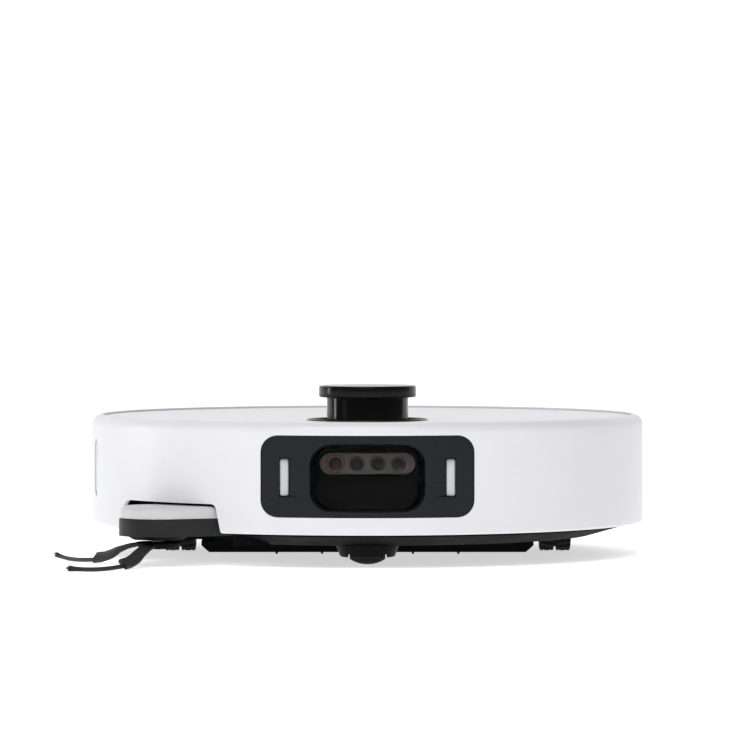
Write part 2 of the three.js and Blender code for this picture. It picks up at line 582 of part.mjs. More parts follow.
// The inner deck: a plate with a skirt that closes the chassis, with the bin bay and turret hole.
function deck() {
  const wallR = CHASSIS_R - WALL;
  const plate = turnedProfile([
    [0, DECK_LOW],
    [wallR, DECK_LOW],
    [wallR, CHASSIS_TOP + FIT],
    [CHASSIS_R, CHASSIS_TOP + FIT],
    [CHASSIS_R, DECK_TOP],
    [0, DECK_TOP],
  ]);
  const binX = BIN.x + BIN.gap;
  const bay = box([-binX, BIN.y0 - BIN.gap, DECK_LOW - 1], [binX, BIN.y1 + BIN.gap, ABOVE_ALL]);
  const turret = disc(TURRET_AT, WELL_OUT + FIT, DECK_LOW - 1, ABOVE_ALL, { sides: MID_ROUND });
  const cameraHole = box(...cameraSpace(0, WINDOW_TOP + 1));
  const stems = [-BUTTON.x, BUTTON.x].map((x) =>
    disc([x, BUTTON_Y], BUTTON.stem + 1.5 * FIT, DECK_LOW - 1, ABOVE_ALL));
  piece('deck', cut(plate, bay, turret, cameraHole, ...stems), MATERIALS.dark);
}

function batteryAndHatch() {
  const { x, y0, y1, z1 } = BATTERY;
  piece('battery_pack', box([-x, y0, UNDERSIDE_Z + PLATE + FIT], [x, y1, z1]), MATERIALS.grey);
  const hatch = box([-HATCH.x, HATCH.y0, UNDERSIDE_Z], [HATCH.x, HATCH.y1, UNDERSIDE_Z + PLATE]);
  piece('battery_hatch', hatch, MATERIALS.dark);
}

// ---------------------------------------------------------------- top cover and buttons
function topCover() {
  const plate = turnedProfile([
    [0, DECK_TOP + FIT],
    [COVER_R, DECK_TOP + FIT],
    [COVER_R, COVER_TOP - EDGE],
    [COVER_R - EDGE, COVER_TOP],
    [0, COVER_TOP],
  ]);
  const turretHole = disc(TURRET_AT, DISH_R + EDGE, DECK_TOP, ABOVE_ALL, { sides: MID_ROUND });
  const buttonHoles = [-BUTTON.x, BUTTON.x].map((x) =>
    disc([x, BUTTON_Y], BUTTON.r + BUTTON.gap, DECK_TOP, ABOVE_ALL));
  piece('top_cover', cut(plate, turretHole, ...buttonHoles), MATERIALS.white);
}

function buttons() {
  const capLow = DECK_TOP + BUTTON.lift;
  for (const [name, side] of [['home', -1], ['power', 1]]) {
    const at = [side * BUTTON.x, BUTTON_Y];
    const cap = disc(at, BUTTON.r, capLow, COVER_TOP + FIT, { rTop: BUTTON.r - 0.2 });
    const stem = disc(at, BUTTON.stem, DECK_LOW - BUTTON.travel - 1, capLow);
    piece(`${name}_button`, cap.add(stem), MATERIALS.white);
  }
}

// ---------------------------------------------------------------- lidar turret
// The dished ring round the turret and the tube that guides it down.
function turretWell() {
  const low = NECK_LOW - CARRIAGE_T - TURRET.travel - WELL.spare;
  const dishTop = COVER_TOP + DISH.proud;
  piece('turret_well', turnedProfile([
    [WELL_R, low],
    [WELL_OUT, low],
    [WELL_OUT, DECK_TOP + FIT],
    [DISH_R, DECK_TOP + FIT],
    [DISH_R, dishTop],
    [DISH_R - DISH.lip, dishTop],
    [WELL_R, DECK_TOP - FIT],
  ], TURRET_AT, MID_ROUND), MATERIALS.bronze);
}

function lidarTurret() {
  const sides = MID_ROUND;
  piece('lidar_cap', turnedProfile([
    [0, CAP_LOW],
    [CAP.r - EDGE, CAP_LOW],
    [CAP.r, CAP_LOW + EDGE],
    [CAP.r, TURRET_TOP - EDGE],
    [CAP.r - EDGE, TURRET_TOP],
    [0, TURRET_TOP],
  ], TURRET_AT, sides), MATERIALS.black);
  piece('lidar_window_ring', turnedProfile([
    [NECK.r - NECK.wall, NECK_LOW],
    [NECK.r, NECK_LOW],
    [NECK.r, CAP_LOW - FIT],
    [NECK.r - NECK.wall, CAP_LOW - FIT],
  ], TURRET_AT, sides), MATERIALS.smoked);
  const base = disc(TURRET_AT, CAP.r, NECK_LOW - CARRIAGE_T, NECK_LOW - FIT, { sides });
  const spindle = disc(TURRET_AT, ROTOR.spindle, NECK_LOW - 1, NECK_LOW + ROTOR.h - 1);
  piece('lidar_carriage', base.add(spindle), MATERIALS.dark);
}

// The spinning drum inside the neck, with its two optical windows.
function lidarRotor() {
  const r = NECK.r - ROTOR.gap;
  const top = CAP_LOW - ROTOR.drop;
  const windowTop = top - ROTOR_WINDOW.head;
  const [x, y] = TURRET_AT;
  const drum = disc(TURRET_AT, r, NECK_LOW + ROTOR.low, top, { sides: MID_ROUND });
  const bore = disc(TURRET_AT, ROTOR.spindle + FIT, NECK_LOW, NECK_LOW + ROTOR.h);
  const windows = [-1, 1].map((side) => {
    const [x0, x1] = across(side, ...ROTOR_WINDOW.x);
    const low = [x + x0, y - r - ROTOR_WINDOW.front, windowTop - ROTOR_WINDOW.h];
    return box(low, [x + x1, y - r + ROTOR_WINDOW.back, windowTop]);
  });
  piece('lidar_rotor', cut(drum, bore, ...windows), MATERIALS.dark);
}

// ---------------------------------------------------------------- dust bin and air path
function dustBin() {
  const { x, y0, y1, z0, wall, lid } = BIN;
  const tubTop = BIN_TOP - lid;
  const tub = box([-x, y0, z0], [x, y1, tubTop]);
  const inside = box([wall - x, y0 + wall, z0 + wall], [x - wall, y1 - wall, BIN_TOP]);
  const port = (from, to) =>
    box([-BIN_PORT.x, from, z0 + BIN_PORT.low], [BIN_PORT.x, to, BIN_TOP - BIN_PORT.high]);
  const ports = [port(y0 - 1, y0 + wall + 1), port(y1 - wall - 1, y1 + 1)];
  piece('dust_bin', cut(tub, inside, ...ports), MATERIALS.smoked);
  const top = BIN_TOP + 1;
  const { x: gripX, inset, depth } = BIN_GRIP;
  const grip = box([-gripX, y0 + inset, BIN_TOP - depth], [gripX, y1 - inset, top + 1]);
  piece('bin_lid', cut(box([-x, y0, tubTop + FIT], [x, y1, top]), grip), MATERIALS.grey);
  const back = y1 - FILTER.back;
  const filter = box([-FILTER.x, back - FILTER.t, z0 + FILTER.low], [FILTER.x, back, tubTop - 1]);
  piece('bin_filter', filter, MATERIALS.cloth);
}

// The duct from the brush chamber up to the bin's inlet, clear of the turret's tube.
function suctionDuct() {
  const wellBack = TURRET_AT[1] + WELL_OUT + 2;
  const front = Math.max(BRUSH.y - DUCT.front, wellBack);
  const back = BIN.y0 - BIN.gap + 0.8;
  const top = BIN_TOP - 1;
  const x = DUCT.x - DUCT.wall;
  const outer = box([-DUCT.x, front, CHAMBER_TOP + DUCT.rise], [DUCT.x, back, top]);
  const riser = box([-x, front + DUCT.wall, 0], [x, BRUSH.y + DUCT.back, top - DUCT.top]);
  const outlet = box([-x, front + DUCT.wall, BIN.z0 + DUCT.inlet], [x, back + 1, top - DUCT.top]);
  piece('suction_duct', cut(outer, riser, outlet), MATERIALS.dark);
}

function suctionFan() {
  const { r, wall, z0, floor, blades, sides } = FAN;
  const { x, h, gap, end } = FAN_INLET;
  const bowl = disc(FAN_AT, r - wall, z0 + floor, ABOVE_ALL, { sides });
  const volute = cut(disc(FAN_AT, r, z0, FAN_TOP, { sides }), bowl);
  const inlet = box([-x, BIN.y1 + gap, FAN_TOP - h], [x, BIN.y1 + end, FAN_TOP]);
  piece('fan_housing', volute.add(inlet), MATERIALS.grey);
  const { hub, plate, lift } = IMPELLER;
  const bladeL = IMPELLER.r - hub + BLADE.root;
  const bladeX = hub - BLADE.root + bladeL / 2;
  const bladeZ = IMPELLER_Z + lift + plate + BLADE.h / 2;
  const fins = Array.from({ length: blades }, (_, i) => {
    const g = new THREE.BoxGeometry(bladeL, BLADE.t, BLADE.h + BLADE.root).translate(bladeX, 0, 0);
    return solid(g, moved(...FAN_AT, bladeZ).multiply(turned((i * 360) / blades)));
  });
  const boss = disc(FAN_AT, hub, IMPELLER_Z, IMPELLER_Z + IMPELLER.h, { rTop: IMPELLER.nose });
  const web = disc(FAN_AT, IMPELLER.r, IMPELLER_Z + lift, IMPELLER_Z + lift + plate);
  piece('fan_impeller', joined(boss, web, ...fins), MATERIALS.white);
}

// ---------------------------------------------------------------- main brush
function mainBrush() {
  const half = BRUSH_L / 2 + BRUSH_CORE.end;
  const journal = half + BRUSH_CORE.journalL;
  const core = bar(-half, half, BRUSH_AXIS, CORE_R, 16);
  const journals = bar(-journal, journal, BRUSH_AXIS, BRUSH_CORE.journal, PIN_ROUND);
  const segments = Array.from({ length: BRUSH.segments }, (_, i) =>
    brushSegment((i - (BRUSH.segments - 1) / 2) * BRUSH.pitch));
  piece('main_brush', joined(core, journals, ...segments), MATERIALS.rubber);
}

// One group of fins round the core.
function brushSegment(x) {
  const root = CORE_R - BRUSH_CORE.root;
  const fins = Array.from({ length: BRUSH.fins }, (_, k) => {
    const g = new THREE.BoxGeometry(BRUSH.pitch - BRUSH.gap, BRUSH.fin, BRUSH.r - root);
    g.translate(0, 0, -(BRUSH.r + root) / 2).rotateX((k * 2 * Math.PI) / BRUSH.fins);
    return solid(g, moved(x, ...BRUSH_AXIS));
  });
  return joined(...fins);
}

// The frame that holds the brush in, with comb tines that run in the gaps between its segments.
function brushGuard() {
  const { x, flare, z0, z1 } = GUARD;
  const top = UNDERSIDE_Z - FIT;
  const [y0, y1] = [BRUSH.y - BRUSH.r - GUARD.front, BRUSH.y + BRUSH.r + GUARD.back];
  const s = new THREE.Shape();
  s.moveTo(-x, z0);
  s.lineTo(x, z0);
  s.lineTo(x + flare, z1);
  s.lineTo(x + flare, top);
  s.lineTo(-x - flare, top);
  s.lineTo(-x - flare, z1);
  const frame = frontPrism(s, -y1, -y0, 0);
  const half = BRUSH_L / 2 + BRUSH_CORE.end + GUARD.gap;
  const mouthY = BRUSH_MOUTH;
  const opening = box([-half, BRUSH.y - mouthY, 0], [half, BRUSH.y + mouthY, UNDERSIDE_Z]);
  const reach = BRUSH.r + TINE.reach;
  const tineLow = z0 - TINE.drop;
  const tines = Array.from({ length: BRUSH.segments - 1 }, (_, i) => {
    const at = (i - (BRUSH.segments - 2) / 2) * BRUSH.pitch;
    const low = [at - TINE.w / 2, BRUSH.y - reach, tineLow];
    return box(low, [at + TINE.w / 2, BRUSH.y + reach, tineLow + TINE.t]);
  });
  piece('brush_guard', joined(cut(frame, opening), ...tines), MATERIALS.dark);
}

function brushMotor() {
  const { x0, x1, r, y, rise } = BRUSH_MOTOR;
  piece('main_brush_motor', bar(-x1, -x0, [BRUSH.y + y, CHAMBER_TOP + rise], r), MATERIALS.grey);
}

// ---------------------------------------------------------------- side brush arm
function armShells() {
  const [low, mid, high] = ARM_Z;
  const shaftHole = disc(ARM_PIVOT, DRIVE_SHAFT.r + FIT, 0, high + 1);
  const brushHole = disc(ARM_TIP, BRUSH_SHAFT.r + FIT, 0, high + 1);
  const tub = cut(prism(armOutline(0), low, mid), prism(armOutline(-ARM_WALL), low + ARM_WALL, mid + 1));
  const [, middle] = gearCentres();
  const post = disc(middle, IDLER_POST.r, low + 1, mid - EDGE, { sides: PIN_ROUND });
  const { r, t, low: lowR } = ARM_BOSS;
  const boss = disc(ARM_TIP, r, low - t, low + 0.1, { rTop: lowR });
  piece('arm_housing', cut(joined(tub, post, boss), shaftHole, brushHole), MATERIALS.dark);
  const depth = high - mid;
  const crown = new THREE.ExtrudeGeometry(armOutline(-1 - ARM_BEVEL), {
    depth, bevelThickness: ARM_BEVEL, bevelSize: ARM_BEVEL, bevelSegments: 2, curveSegments: 6,
  });
  const rounded = solid(crown, moved(0, 0, high - depth - ARM_BEVEL));
  const shell = rounded.intersect(prism(armOutline(-1), mid + FIT, high + 1));
  const hollow = prism(armOutline(-1 - ARM_BEVEL - ARM_WALL + EDGE), 0, high - ARM_WALL);
  const neck = disc(ARM_PIVOT, BAY.collar + FIT, 0, high + 1);
  piece('arm_cover', cut(shell, hollow, neck), MATERIALS.white);
}

// Axes of the three gears along the arm.
function gearCentres() {
  const [a, b, c] = GEAR.teeth.map((teeth) => (teeth * GEAR.module) / 2);
  const share = (a + b) / (a + 2 * b + c);
  const middle = ARM_PIVOT.map((v, i) => v + (ARM_TIP[i] - v) * share);
  return [ARM_PIVOT, middle, ARM_TIP];
}

// A spur gear with straight-sided teeth; one tooth points along `phase`, in radians.
function gearOutline(teeth, phase, bore) {
  const pitchR = (teeth * GEAR.module) / 2;
  const half = Math.PI / teeth;
  const [root, tip] = [
    { r: pitchR - 1.25 * GEAR.module, turn: 0.62 * half },
    { r: pitchR + 0.8 * GEAR.module, turn: 0.26 * half },
  ];
  const points = Array.from({ length: teeth }, (_, i) => {
    const a = phase + 2 * half * i;
    const at = (r, angle) => new THREE.Vector2(r * Math.cos(angle), r * Math.sin(angle));
    const rise = [at(root.r, a - root.turn), at(tip.r, a - tip.turn)];
    return [...rise, at(tip.r, a + tip.turn), at(root.r, a + root.turn)];
  });
  const s = new THREE.Shape(points.flat());
  if (bore > 0) s.holes.push(new THREE.Path().absarc(0, 0, bore, 0, 2 * Math.PI));
  return s;
}

function armGears() {
  const centres = gearCentres();
  const heading = rad(ARM.heading);
  const phases = GEAR.teeth.map((teeth, i) => (i === 0 ? heading : heading + Math.PI + Math.PI / teeth));
  const bores = [0, IDLER_POST.bore, 0];
  const depth = GEAR.z1 - GEAR.z0;
  const [drive, idler, brush] = GEAR.teeth.map((teeth, i) => {
    const shape = gearOutline(teeth, phases[i], bores[i]);
    const g = new THREE.ExtrudeGeometry(shape, { depth, bevelEnabled: false, curveSegments: 5 });
    return solid(g, moved(...centres[i], GEAR.z0));
  });
  const driveShaft = disc(ARM_PIVOT, DRIVE_SHAFT.r, DRIVE_SHAFT.z0, DRIVE_SHAFT.z1, { sides: PIN_ROUND });
  const brushShaft = disc(ARM_TIP, BRUSH_SHAFT.r, BRUSH_SHAFT.z0, ARM_Z[1] - EDGE, { sides: PIN_ROUND });
  piece('arm_drive_gear', drive.add(driveShaft), MATERIALS.white);
  piece('arm_idler_gear', idler, MATERIALS.white);
  piece('brush_drive_gear', brush.add(brushShaft), MATERIALS.white);
}

function sideBrushMotor() {
  const low = BAY_TOP + BAY.bossH + FIT;
  const can = disc(ARM_PIVOT, SIDE_MOTOR.r, low, low + SIDE_MOTOR.h);
  const bore = disc(ARM_PIVOT, DRIVE_SHAFT.r + FIT, 0, DRIVE_SHAFT.z1 + 2);
  piece('side_brush_motor', cut(can, bore), MATERIALS.steel);
}

// A point on a curved brush leg, at a radius from the brush's axis.
function legPoint({ start, end }, r, z) {
  const share = (r - LEG.r0) / (TUFT.r1 - LEG.r0);
  const [dx, dy] = polar(r, start + (end - start) * share);
  return new THREE.Vector3(ARM_TIP[0] + dx, ARM_TIP[1] + dy, z);
}

// A curve along a leg through evenly spaced heights, between two radii.
function legCurve(leg, r0, r1, heights) {
  const step = (r1 - r0) / (heights.length - 1);
  return new THREE.CatmullRomCurve3(heights.map((z, i) => legPoint(leg, r0 + step * i, z)));
}

// The two-armed side brush: a hub, two rubber legs, and a tuft at the end of each.
function sideBrush() {
  piece('side_brush_hub', turnedProfile([
    [0, HUB.z0],
    [HUB.r - HUB.bevel, HUB.z0],
    [HUB.r, (HUB.z0 + HUB.z1) / 2],
    [HUB.r, HUB.z1],
    [0, HUB.z1],
  ], ARM_TIP, SMALL_ROUND), MATERIALS.dark);
  const bundle = new THREE.Shape().absarc(0, 0, TUFT.r, 0, 2 * Math.PI);
  for (const leg of LEGS) {
    const fall = LEG_FALL.map((share) => LEG.z + (leg.foot - LEG.z) * share);
    const strap = swept(rectangle(LEG.t, LEG.w), legCurve(leg, LEG.r0, LEG.r1, fall), 9);
    piece(`side_brush_leg_${leg.name}`, strap, MATERIALS.rubber);
    const rise = [leg.foot, TUFT.z, TUFT.z, leg.tip].map((z) => Math.max(z, TUFT.least));
    const tuft = swept(bundle, legCurve(leg, TUFT.r0, TUFT.r1, rise), 9);
    piece(`side_brush_tuft_${leg.name}`, tuft, MATERIALS.bristle);
  }
}

// ---------------------------------------------------------------- wheels
// The drive wheels stand on a flat facet, so their radius is that of the inscribed circle.
function driveWheels() {
  const axis = [WHEEL.y, WHEEL.r];
  const turn = Math.PI / WHEEL.sides;
  const round = (x0, x1, r) => bar(x0, x1, axis, r / Math.cos(turn), WHEEL.sides, turn);
  const rimR = WHEEL.r - TYRE.depth;
  for (const [name, side] of [['left', 1], ['right', -1]]) {
    const [x0, x1] = across(side, WHEEL.x - WHEEL.w / 2, WHEEL.x + WHEEL.w / 2);
    const [g0, g1] = across(side, WHEEL.x - TYRE.groove / 2, WHEEL.x + TYRE.groove / 2);
    const groove = cut(round(g0, g1, WHEEL.r + 2), round(g0 - 1, g1 + 1, WHEEL.r - TYRE.grooveDepth));
    const tyre = cut(round(x0, x1, WHEEL.r), round(x0 - 1, x1 + 1, rimR), groove);
    piece(`${name}_tyre`, tyre, MATERIALS.rubber);
    const { rim, web, back, bore, inset } = HUB_DISH;
    const hub = cut(
      round(x0 + inset, x1 - inset, rimR - FIT),
      bar(...across(side, WHEEL.x + back, WHEEL.x + WHEEL.w), axis, rimR - rim),
      bar(...across(side, WHEEL.x - WHEEL.w, WHEEL.x + web), axis, GEARBOX_SHAFT.r + bore, PIN_ROUND),
    );
    piece(`${name}_wheel_hub`, hub, MATERIALS.grey);
    piece(`${name}_wheel_gearbox`, wheelGearbox(side, axis), MATERIALS.dark);
  }
}

// The swinging gearbox: a block beside the wheel, an arm back to its pivot pin, and the wheel shaft.
function wheelGearbox(side, axis) {
  const { x0, x1, h, front, step, end } = GEARBOX;
  const [b0, b1] = across(side, x0, x1);
  const top = GEARBOX_Z + h;
  const pivot = [SWING_PIVOT.y, SWING_PIVOT.z];
  return joined(
    box([b0, front, GEARBOX_Z], [b1, step, top]),
    box([b0, step, GEARBOX_Z + GEARBOX_ARM.rise], [b1, SWING_PIVOT.y + end, top - GEARBOX_ARM.drop]),
    bar(...across(side, x1 - GEARBOX_SHAFT.stub, WHEEL.x), axis, GEARBOX_SHAFT.r, PIN_ROUND),
    bar(...across(side, SWING_PIVOT.x0, SWING_PIVOT.x1), pivot, SWING_PIVOT.r, PIN_ROUND),
  );
}

// The front caster: a fixed cup, a domed swivel that holds the axle, and a crowned wheel.
function caster() {
  const sides = 28;
  const { top, roof } = SOCKET;
  const cupR = SWIVEL.r + SOCKET.gap;
  const cup = cut(
    disc(CASTER_AT, cupR + SOCKET.wall, UNDERSIDE_Z, top, { sides: MID_ROUND }),
    disc(CASTER_AT, cupR, 0, top - roof, { sides: MID_ROUND }),
    disc(CASTER_AT, SWIVEL.stem + FIT, 0, top + 1),
  );
  piece('caster_socket', cup, MATERIALS.dark);
  const { r, low, z0, side, shoulder, slope, stem } = SWIVEL;
  const dome = turnedProfile([
    [0, z0],
    [low, z0],
    [r, UNDERSIDE_Z],
    [r, side],
    [r - slope, shoulder],
    [stem, shoulder],
    [stem, SWIVEL.top],
    [0, SWIVEL.top],
  ], CASTER_AT, sides);
  const half = CASTER.w / 2;
  const y = CASTER_AT[1];
  const gap = CASTER.r + 3 * FIT;
  const slot = box([-half - 2 * FIT, y - gap, 0], [half + 2 * FIT, y + gap, 2 * CASTER.r + 1]);
  const axis = [y, CASTER.r];
  const reach = half + CASTER.axleL;
  const axleHole = bar(-reach - FIT, reach + FIT, axis, CASTER.axle + FIT, PIN_ROUND);
  piece('caster_swivel', cut(dome, slot, axleHole), MATERIALS.black);
  const axle = bar(-reach, reach, axis, CASTER.axle, PIN_ROUND);
  piece('caster_wheel', casterWheel(half).add(axle), MATERIALS.rubber);
}

// The crowned roller, with its axis along X.
function casterWheel(half) {
  const sides = 24;
  const bulge = deg(Math.asin(half / CASTER.crown));
  const crown = arcPoints(CASTER.r - CASTER.crown, 0, CASTER.crown, -bulge, bulge, 4);
  const profile = closedLoop([[0, -half], ...crown, [0, half]]);
  const lying = new THREE.LatheGeometry(profile, sides).rotateZ(Math.PI / 2).rotateX(Math.PI / sides);
  return solid(lying, moved(...CASTER_AT, CASTER.r));
}

// ---------------------------------------------------------------- mops and water tank
function mops() {
  const sides = MID_ROUND;
  MOP_AXES.forEach((at, i) => {
    const name = ['right', 'left'][i];
    piece(`${name}_mop_pad`, disc(at, MOP.r, MOP.z, MOP.z + MOP.pad, { sides }), MATERIALS.cloth);
    const plate = disc(at, MOP.r - MOP.lip, MOP_PLATE_Z, MOP_PLATE_Z + MOP.plate, { sides });
    const shaft = disc(at, MOP.shaft, MOP_PLATE_Z, MOP.shaftTop);
    piece(`${name}_mop_plate`, plate.add(shaft), MATERIALS.dark);
  });
  const { w, z0, h, boss, rib } = YOKE;
  const z1 = z0 + h;
  const bosses = MOP_AXES.map((at) => disc(at, boss, z0, z1));
  const links = MOP_AXES.map(([x, y]) => box([x - w / 2, y, z0 + rib], [x + w / 2, YOKE_BACK, z1 - rib]));
  const beam = box([-MOP_X, YOKE_BACK - w / 2, z0 + rib], [MOP_X, YOKE_BACK, z1 - rib]);
  const bores = MOP_AXES.map((at) => disc(at, MOP.shaft + FIT, z0 - 1, z1 - rib));
  piece('mop_lift_yoke', cut(joined(beam, ...links, ...bosses), ...bores), MATERIALS.grey);
}

function waterTank() {
  const { x, gap, inset, z0, z1 } = TANK;
  const round = disc([0, 0], CHASSIS_R - inset, 0, ABOVE_ALL, { sides: ROUND });
  const block = box([-x, YOKE_BACK + gap, z0], [x, PAST_WALL, z1]);
  piece('water_tank', block.intersect(round), MATERIALS.smoked);
}

// ---------------------------------------------------------------- assembly
bumper();
rearShell();
chargingContacts();
sensorPanel();
ledBars();
wallSensorWindow();
camera();
cliffSensors();
chassis();
deck();
batteryAndHatch();
topCover();
buttons();
turretWell();
lidarTurret();
lidarRotor();
dustBin();
suctionDuct();
suctionFan();
mainBrush();
brushGuard();
brushMotor();
armShells();
armGears();
sideBrushMotor();
sideBrush();
driveWheels();
caster();
mops();
waterTank();

robot.position.z = -UNDERSIDE_Z;
const part = new THREE.Group();
part.add(robot);
export default part;
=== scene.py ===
# Looks of the robot vacuum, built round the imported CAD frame. Metres, +Z up, front towards -Y.
import json
import math
import random

import bmesh
import bpy
from mathutils import Matrix, Vector


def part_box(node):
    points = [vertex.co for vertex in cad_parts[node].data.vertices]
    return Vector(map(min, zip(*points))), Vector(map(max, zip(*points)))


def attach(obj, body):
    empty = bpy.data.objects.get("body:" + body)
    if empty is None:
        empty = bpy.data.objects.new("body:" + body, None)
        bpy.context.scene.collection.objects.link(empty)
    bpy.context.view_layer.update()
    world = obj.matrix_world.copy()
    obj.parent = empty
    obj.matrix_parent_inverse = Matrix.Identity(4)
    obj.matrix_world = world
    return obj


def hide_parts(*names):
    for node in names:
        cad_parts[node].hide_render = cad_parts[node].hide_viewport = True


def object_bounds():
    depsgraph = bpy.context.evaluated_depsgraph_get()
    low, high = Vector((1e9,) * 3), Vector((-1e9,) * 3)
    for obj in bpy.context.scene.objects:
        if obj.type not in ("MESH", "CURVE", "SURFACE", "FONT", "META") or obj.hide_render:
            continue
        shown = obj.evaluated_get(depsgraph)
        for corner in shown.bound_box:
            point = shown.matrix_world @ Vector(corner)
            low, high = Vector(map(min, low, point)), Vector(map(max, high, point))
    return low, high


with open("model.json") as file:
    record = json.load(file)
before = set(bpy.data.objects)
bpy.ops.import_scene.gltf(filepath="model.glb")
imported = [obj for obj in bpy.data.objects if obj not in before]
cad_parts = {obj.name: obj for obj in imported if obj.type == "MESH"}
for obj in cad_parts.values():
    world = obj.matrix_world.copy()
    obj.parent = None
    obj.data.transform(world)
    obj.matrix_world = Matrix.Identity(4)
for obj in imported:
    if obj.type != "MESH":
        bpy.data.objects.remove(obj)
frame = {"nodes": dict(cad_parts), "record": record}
CAD_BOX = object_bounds()
NODES = frame["nodes"]
BOX = {name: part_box(name) for name in NODES}
MM = 0.001
TAU = 2 * math.pi

FLOOR_Z = CAD_BOX[0][2]
BODY_R = BOX["rear_shell"][1][1]
RIM_TOP = BOX["bumper"][1][2]
SKIRT = BOX["bumper"][0][2]
DECK_TOP = BOX["deck"][1][2]
FAR = 0.3  # outside the object on every side, for cuts that run right through it
PAST = 10 * MM  # how far a cut runs past the piece that it cuts


def centre_of(name):
    lo, hi = BOX[name]
    return [(a + b) / 2 for a, b in zip(lo, hi)]


def radius_of(name):
    """Half the node's width along X."""
    lo, hi = BOX[name]
    return (hi[0] - lo[0]) / 2


def heights_of(name):
    lo, hi = BOX[name]
    return lo[2], hi[2]


def front_of(name):
    """The node's width and height from the front, and the height of its middle."""
    (x0, _, z0), (x1, _, z1) = BOX[name]
    return x1 - x0, z1 - z0, (z0 + z1) / 2


TIP = centre_of("side_brush_hub")[:2]
PIVOT = centre_of("arm_drive_gear")[:2]


def linked(name, data):
    """A new object in the scene, holding the data."""
    obj = bpy.data.objects.new(name, data)
    bpy.context.collection.objects.link(obj)
    return obj


# --- camera and studio
CAMERA_AT = (0, -3.2, 0.1785)
CAMERA_TURN = (88.606, 0, -0.0855)
CAMERA_LENS = 241.3

# Where the floor turns up into a wall far behind the object, and the curve between them.
FLOOR_HALF, FLOOR_FRONT, FLOOR_BEND, BEND_R, WALL_TOP = 8, -6.0, 3.0, 2.0, 7.0


def camera():
    data = bpy.data.cameras.new("camera")
    data.lens = CAMERA_LENS
    data.sensor_width = 36
    data.clip_start = 0.05
    data.clip_end = 60
    cam = linked("camera", data)
    cam.location = CAMERA_AT
    cam.rotation_euler = [math.radians(turn) for turn in CAMERA_TURN]
    bpy.context.scene.camera = cam


def area_light(name, at, towards, size, power):
    data = bpy.data.lights.new(name, "AREA")
    data.shape = "RECTANGLE"
    data.size, data.size_y = size
    data.energy = power
    lamp = linked(name, data)
    lamp.location = at
    lamp.rotation_mode = "QUATERNION"
    lamp.rotation_quaternion = (Vector(towards) - Vector(at)).to_track_quat("-Z", "Y")


def studio():
    scene = bpy.context.scene
    scene.view_settings.view_transform = "Standard"
    world = bpy.data.worlds.new("studio")
    scene.world = world
    world.use_nodes = True
    background = world.node_tree.nodes["Background"]
    fill(background, {"Color": (1, 1, 1, 1), "Strength": 0.2})
    area_light("key", (-0.3, -1.75, 2.05), (0, 0, 0.02), (1.9, 1.2), 35)
    area_light("top", (-0.1, 0.9, 1.9), (0, 0, 0), (2.0, 1.6), 5)
    area_light("left_fill", (-1.95, -0.85, 0.45), (0, 0, 0.05), (0.5, 0.9), 0.45)
    area_light("left_strip", (-1.76, 0.36, 0.2), (0, -0.08, 0.08), (0.27, 0.75), 4.0)


def floor():
    """A floor that curves up into a wall far behind the object."""
    turns = [math.radians(d) for d in range(6, 91, 6)]
    profile = [(FLOOR_FRONT, 0.0), (FLOOR_BEND, 0.0)]
    profile += [(FLOOR_BEND + BEND_R * math.sin(a), BEND_R - BEND_R * math.cos(a)) for a in turns]
    profile += [(FLOOR_BEND + BEND_R, WALL_TOP)]
    bm = bmesh.new()
    rows = [[bm.verts.new((x, y, z + FLOOR_Z)) for x in (-FLOOR_HALF, FLOOR_HALF)] for y, z in profile]
    for a, b in zip(rows, rows[1:]):
        bm.faces.new((a[0], a[1], b[1], b[0]))
    sheet = from_bmesh("floor", bm)
    for p in sheet.data.polygons:
        p.use_smooth = True
    tree, shader = surface("floor_paper")
    fill(shader, {"Base Color": (0.93, 0.93, 0.93, 1), "Roughness": 0.9, "Specular IOR Level": 0.1,
                  "Emission Color": (1, 1, 1, 1), "Emission Strength": 0.6})
    noise = node(tree, "ShaderNodeTexNoise", {"Scale": 300.0, "Detail": 3.0})
    bumped(tree, shader, noise.outputs["Fac"], 0.03, 0.0002)
    sheet.data.materials.append(MATERIALS["floor_paper"])


# --- materials
MATERIALS = {}


def surface(name):
    """The node tree and the shader of a new material."""
    mat = bpy.data.materials.new(name)
    mat.use_nodes = True
    MATERIALS[name] = mat
    return mat.node_tree, mat.node_tree.nodes["Principled BSDF"]


def fill(target, values):
    for key, value in values.items():
        target.inputs[key].default_value = value


def node(tree, kind, values):
    made = tree.nodes.new(kind)
    fill(made, values)
    return made


def sum_or_product(tree, operation, a, b):
    made = tree.nodes.new("ShaderNodeMath")
    made.operation = operation
    tree.links.new(a, made.inputs[0])
    tree.links.new(b, made.inputs[1])
    return made.outputs["Value"]


def bumped(tree, shader, height, strength, distance):
    made = node(tree, "ShaderNodeBump", {"Strength": strength, "Distance": distance})
    tree.links.new(height, made.inputs["Height"])
    tree.links.new(made.outputs["Normal"], shader.inputs["Normal"])


def mapped(tree, source, low, high, start=0.3, end=0.7):
    """The source's range from start to end, spread over low to high."""
    made = node(tree, "ShaderNodeMapRange",
                {"From Min": start, "From Max": end, "To Min": low, "To Max": high})
    tree.links.new(source, made.inputs["Value"])
    return made.outputs["Result"]


def mixed(tree, factor, a, b):
    """A blend of two colours, each a colour or a socket."""
    made = tree.nodes.new("ShaderNodeMix")
    made.data_type = "RGBA"
    for socket, value in (("A", a), ("B", b)):
        target = [s for s in made.inputs if s.name == socket and s.type == "RGBA"][0]
        if isinstance(value, (tuple, list)):
            target.default_value = (*value[:3], 1)
        else:
            tree.links.new(value, target)
    tree.links.new(factor, made.inputs[0])
    return [s for s in made.outputs if s.type == "RGBA"][0]


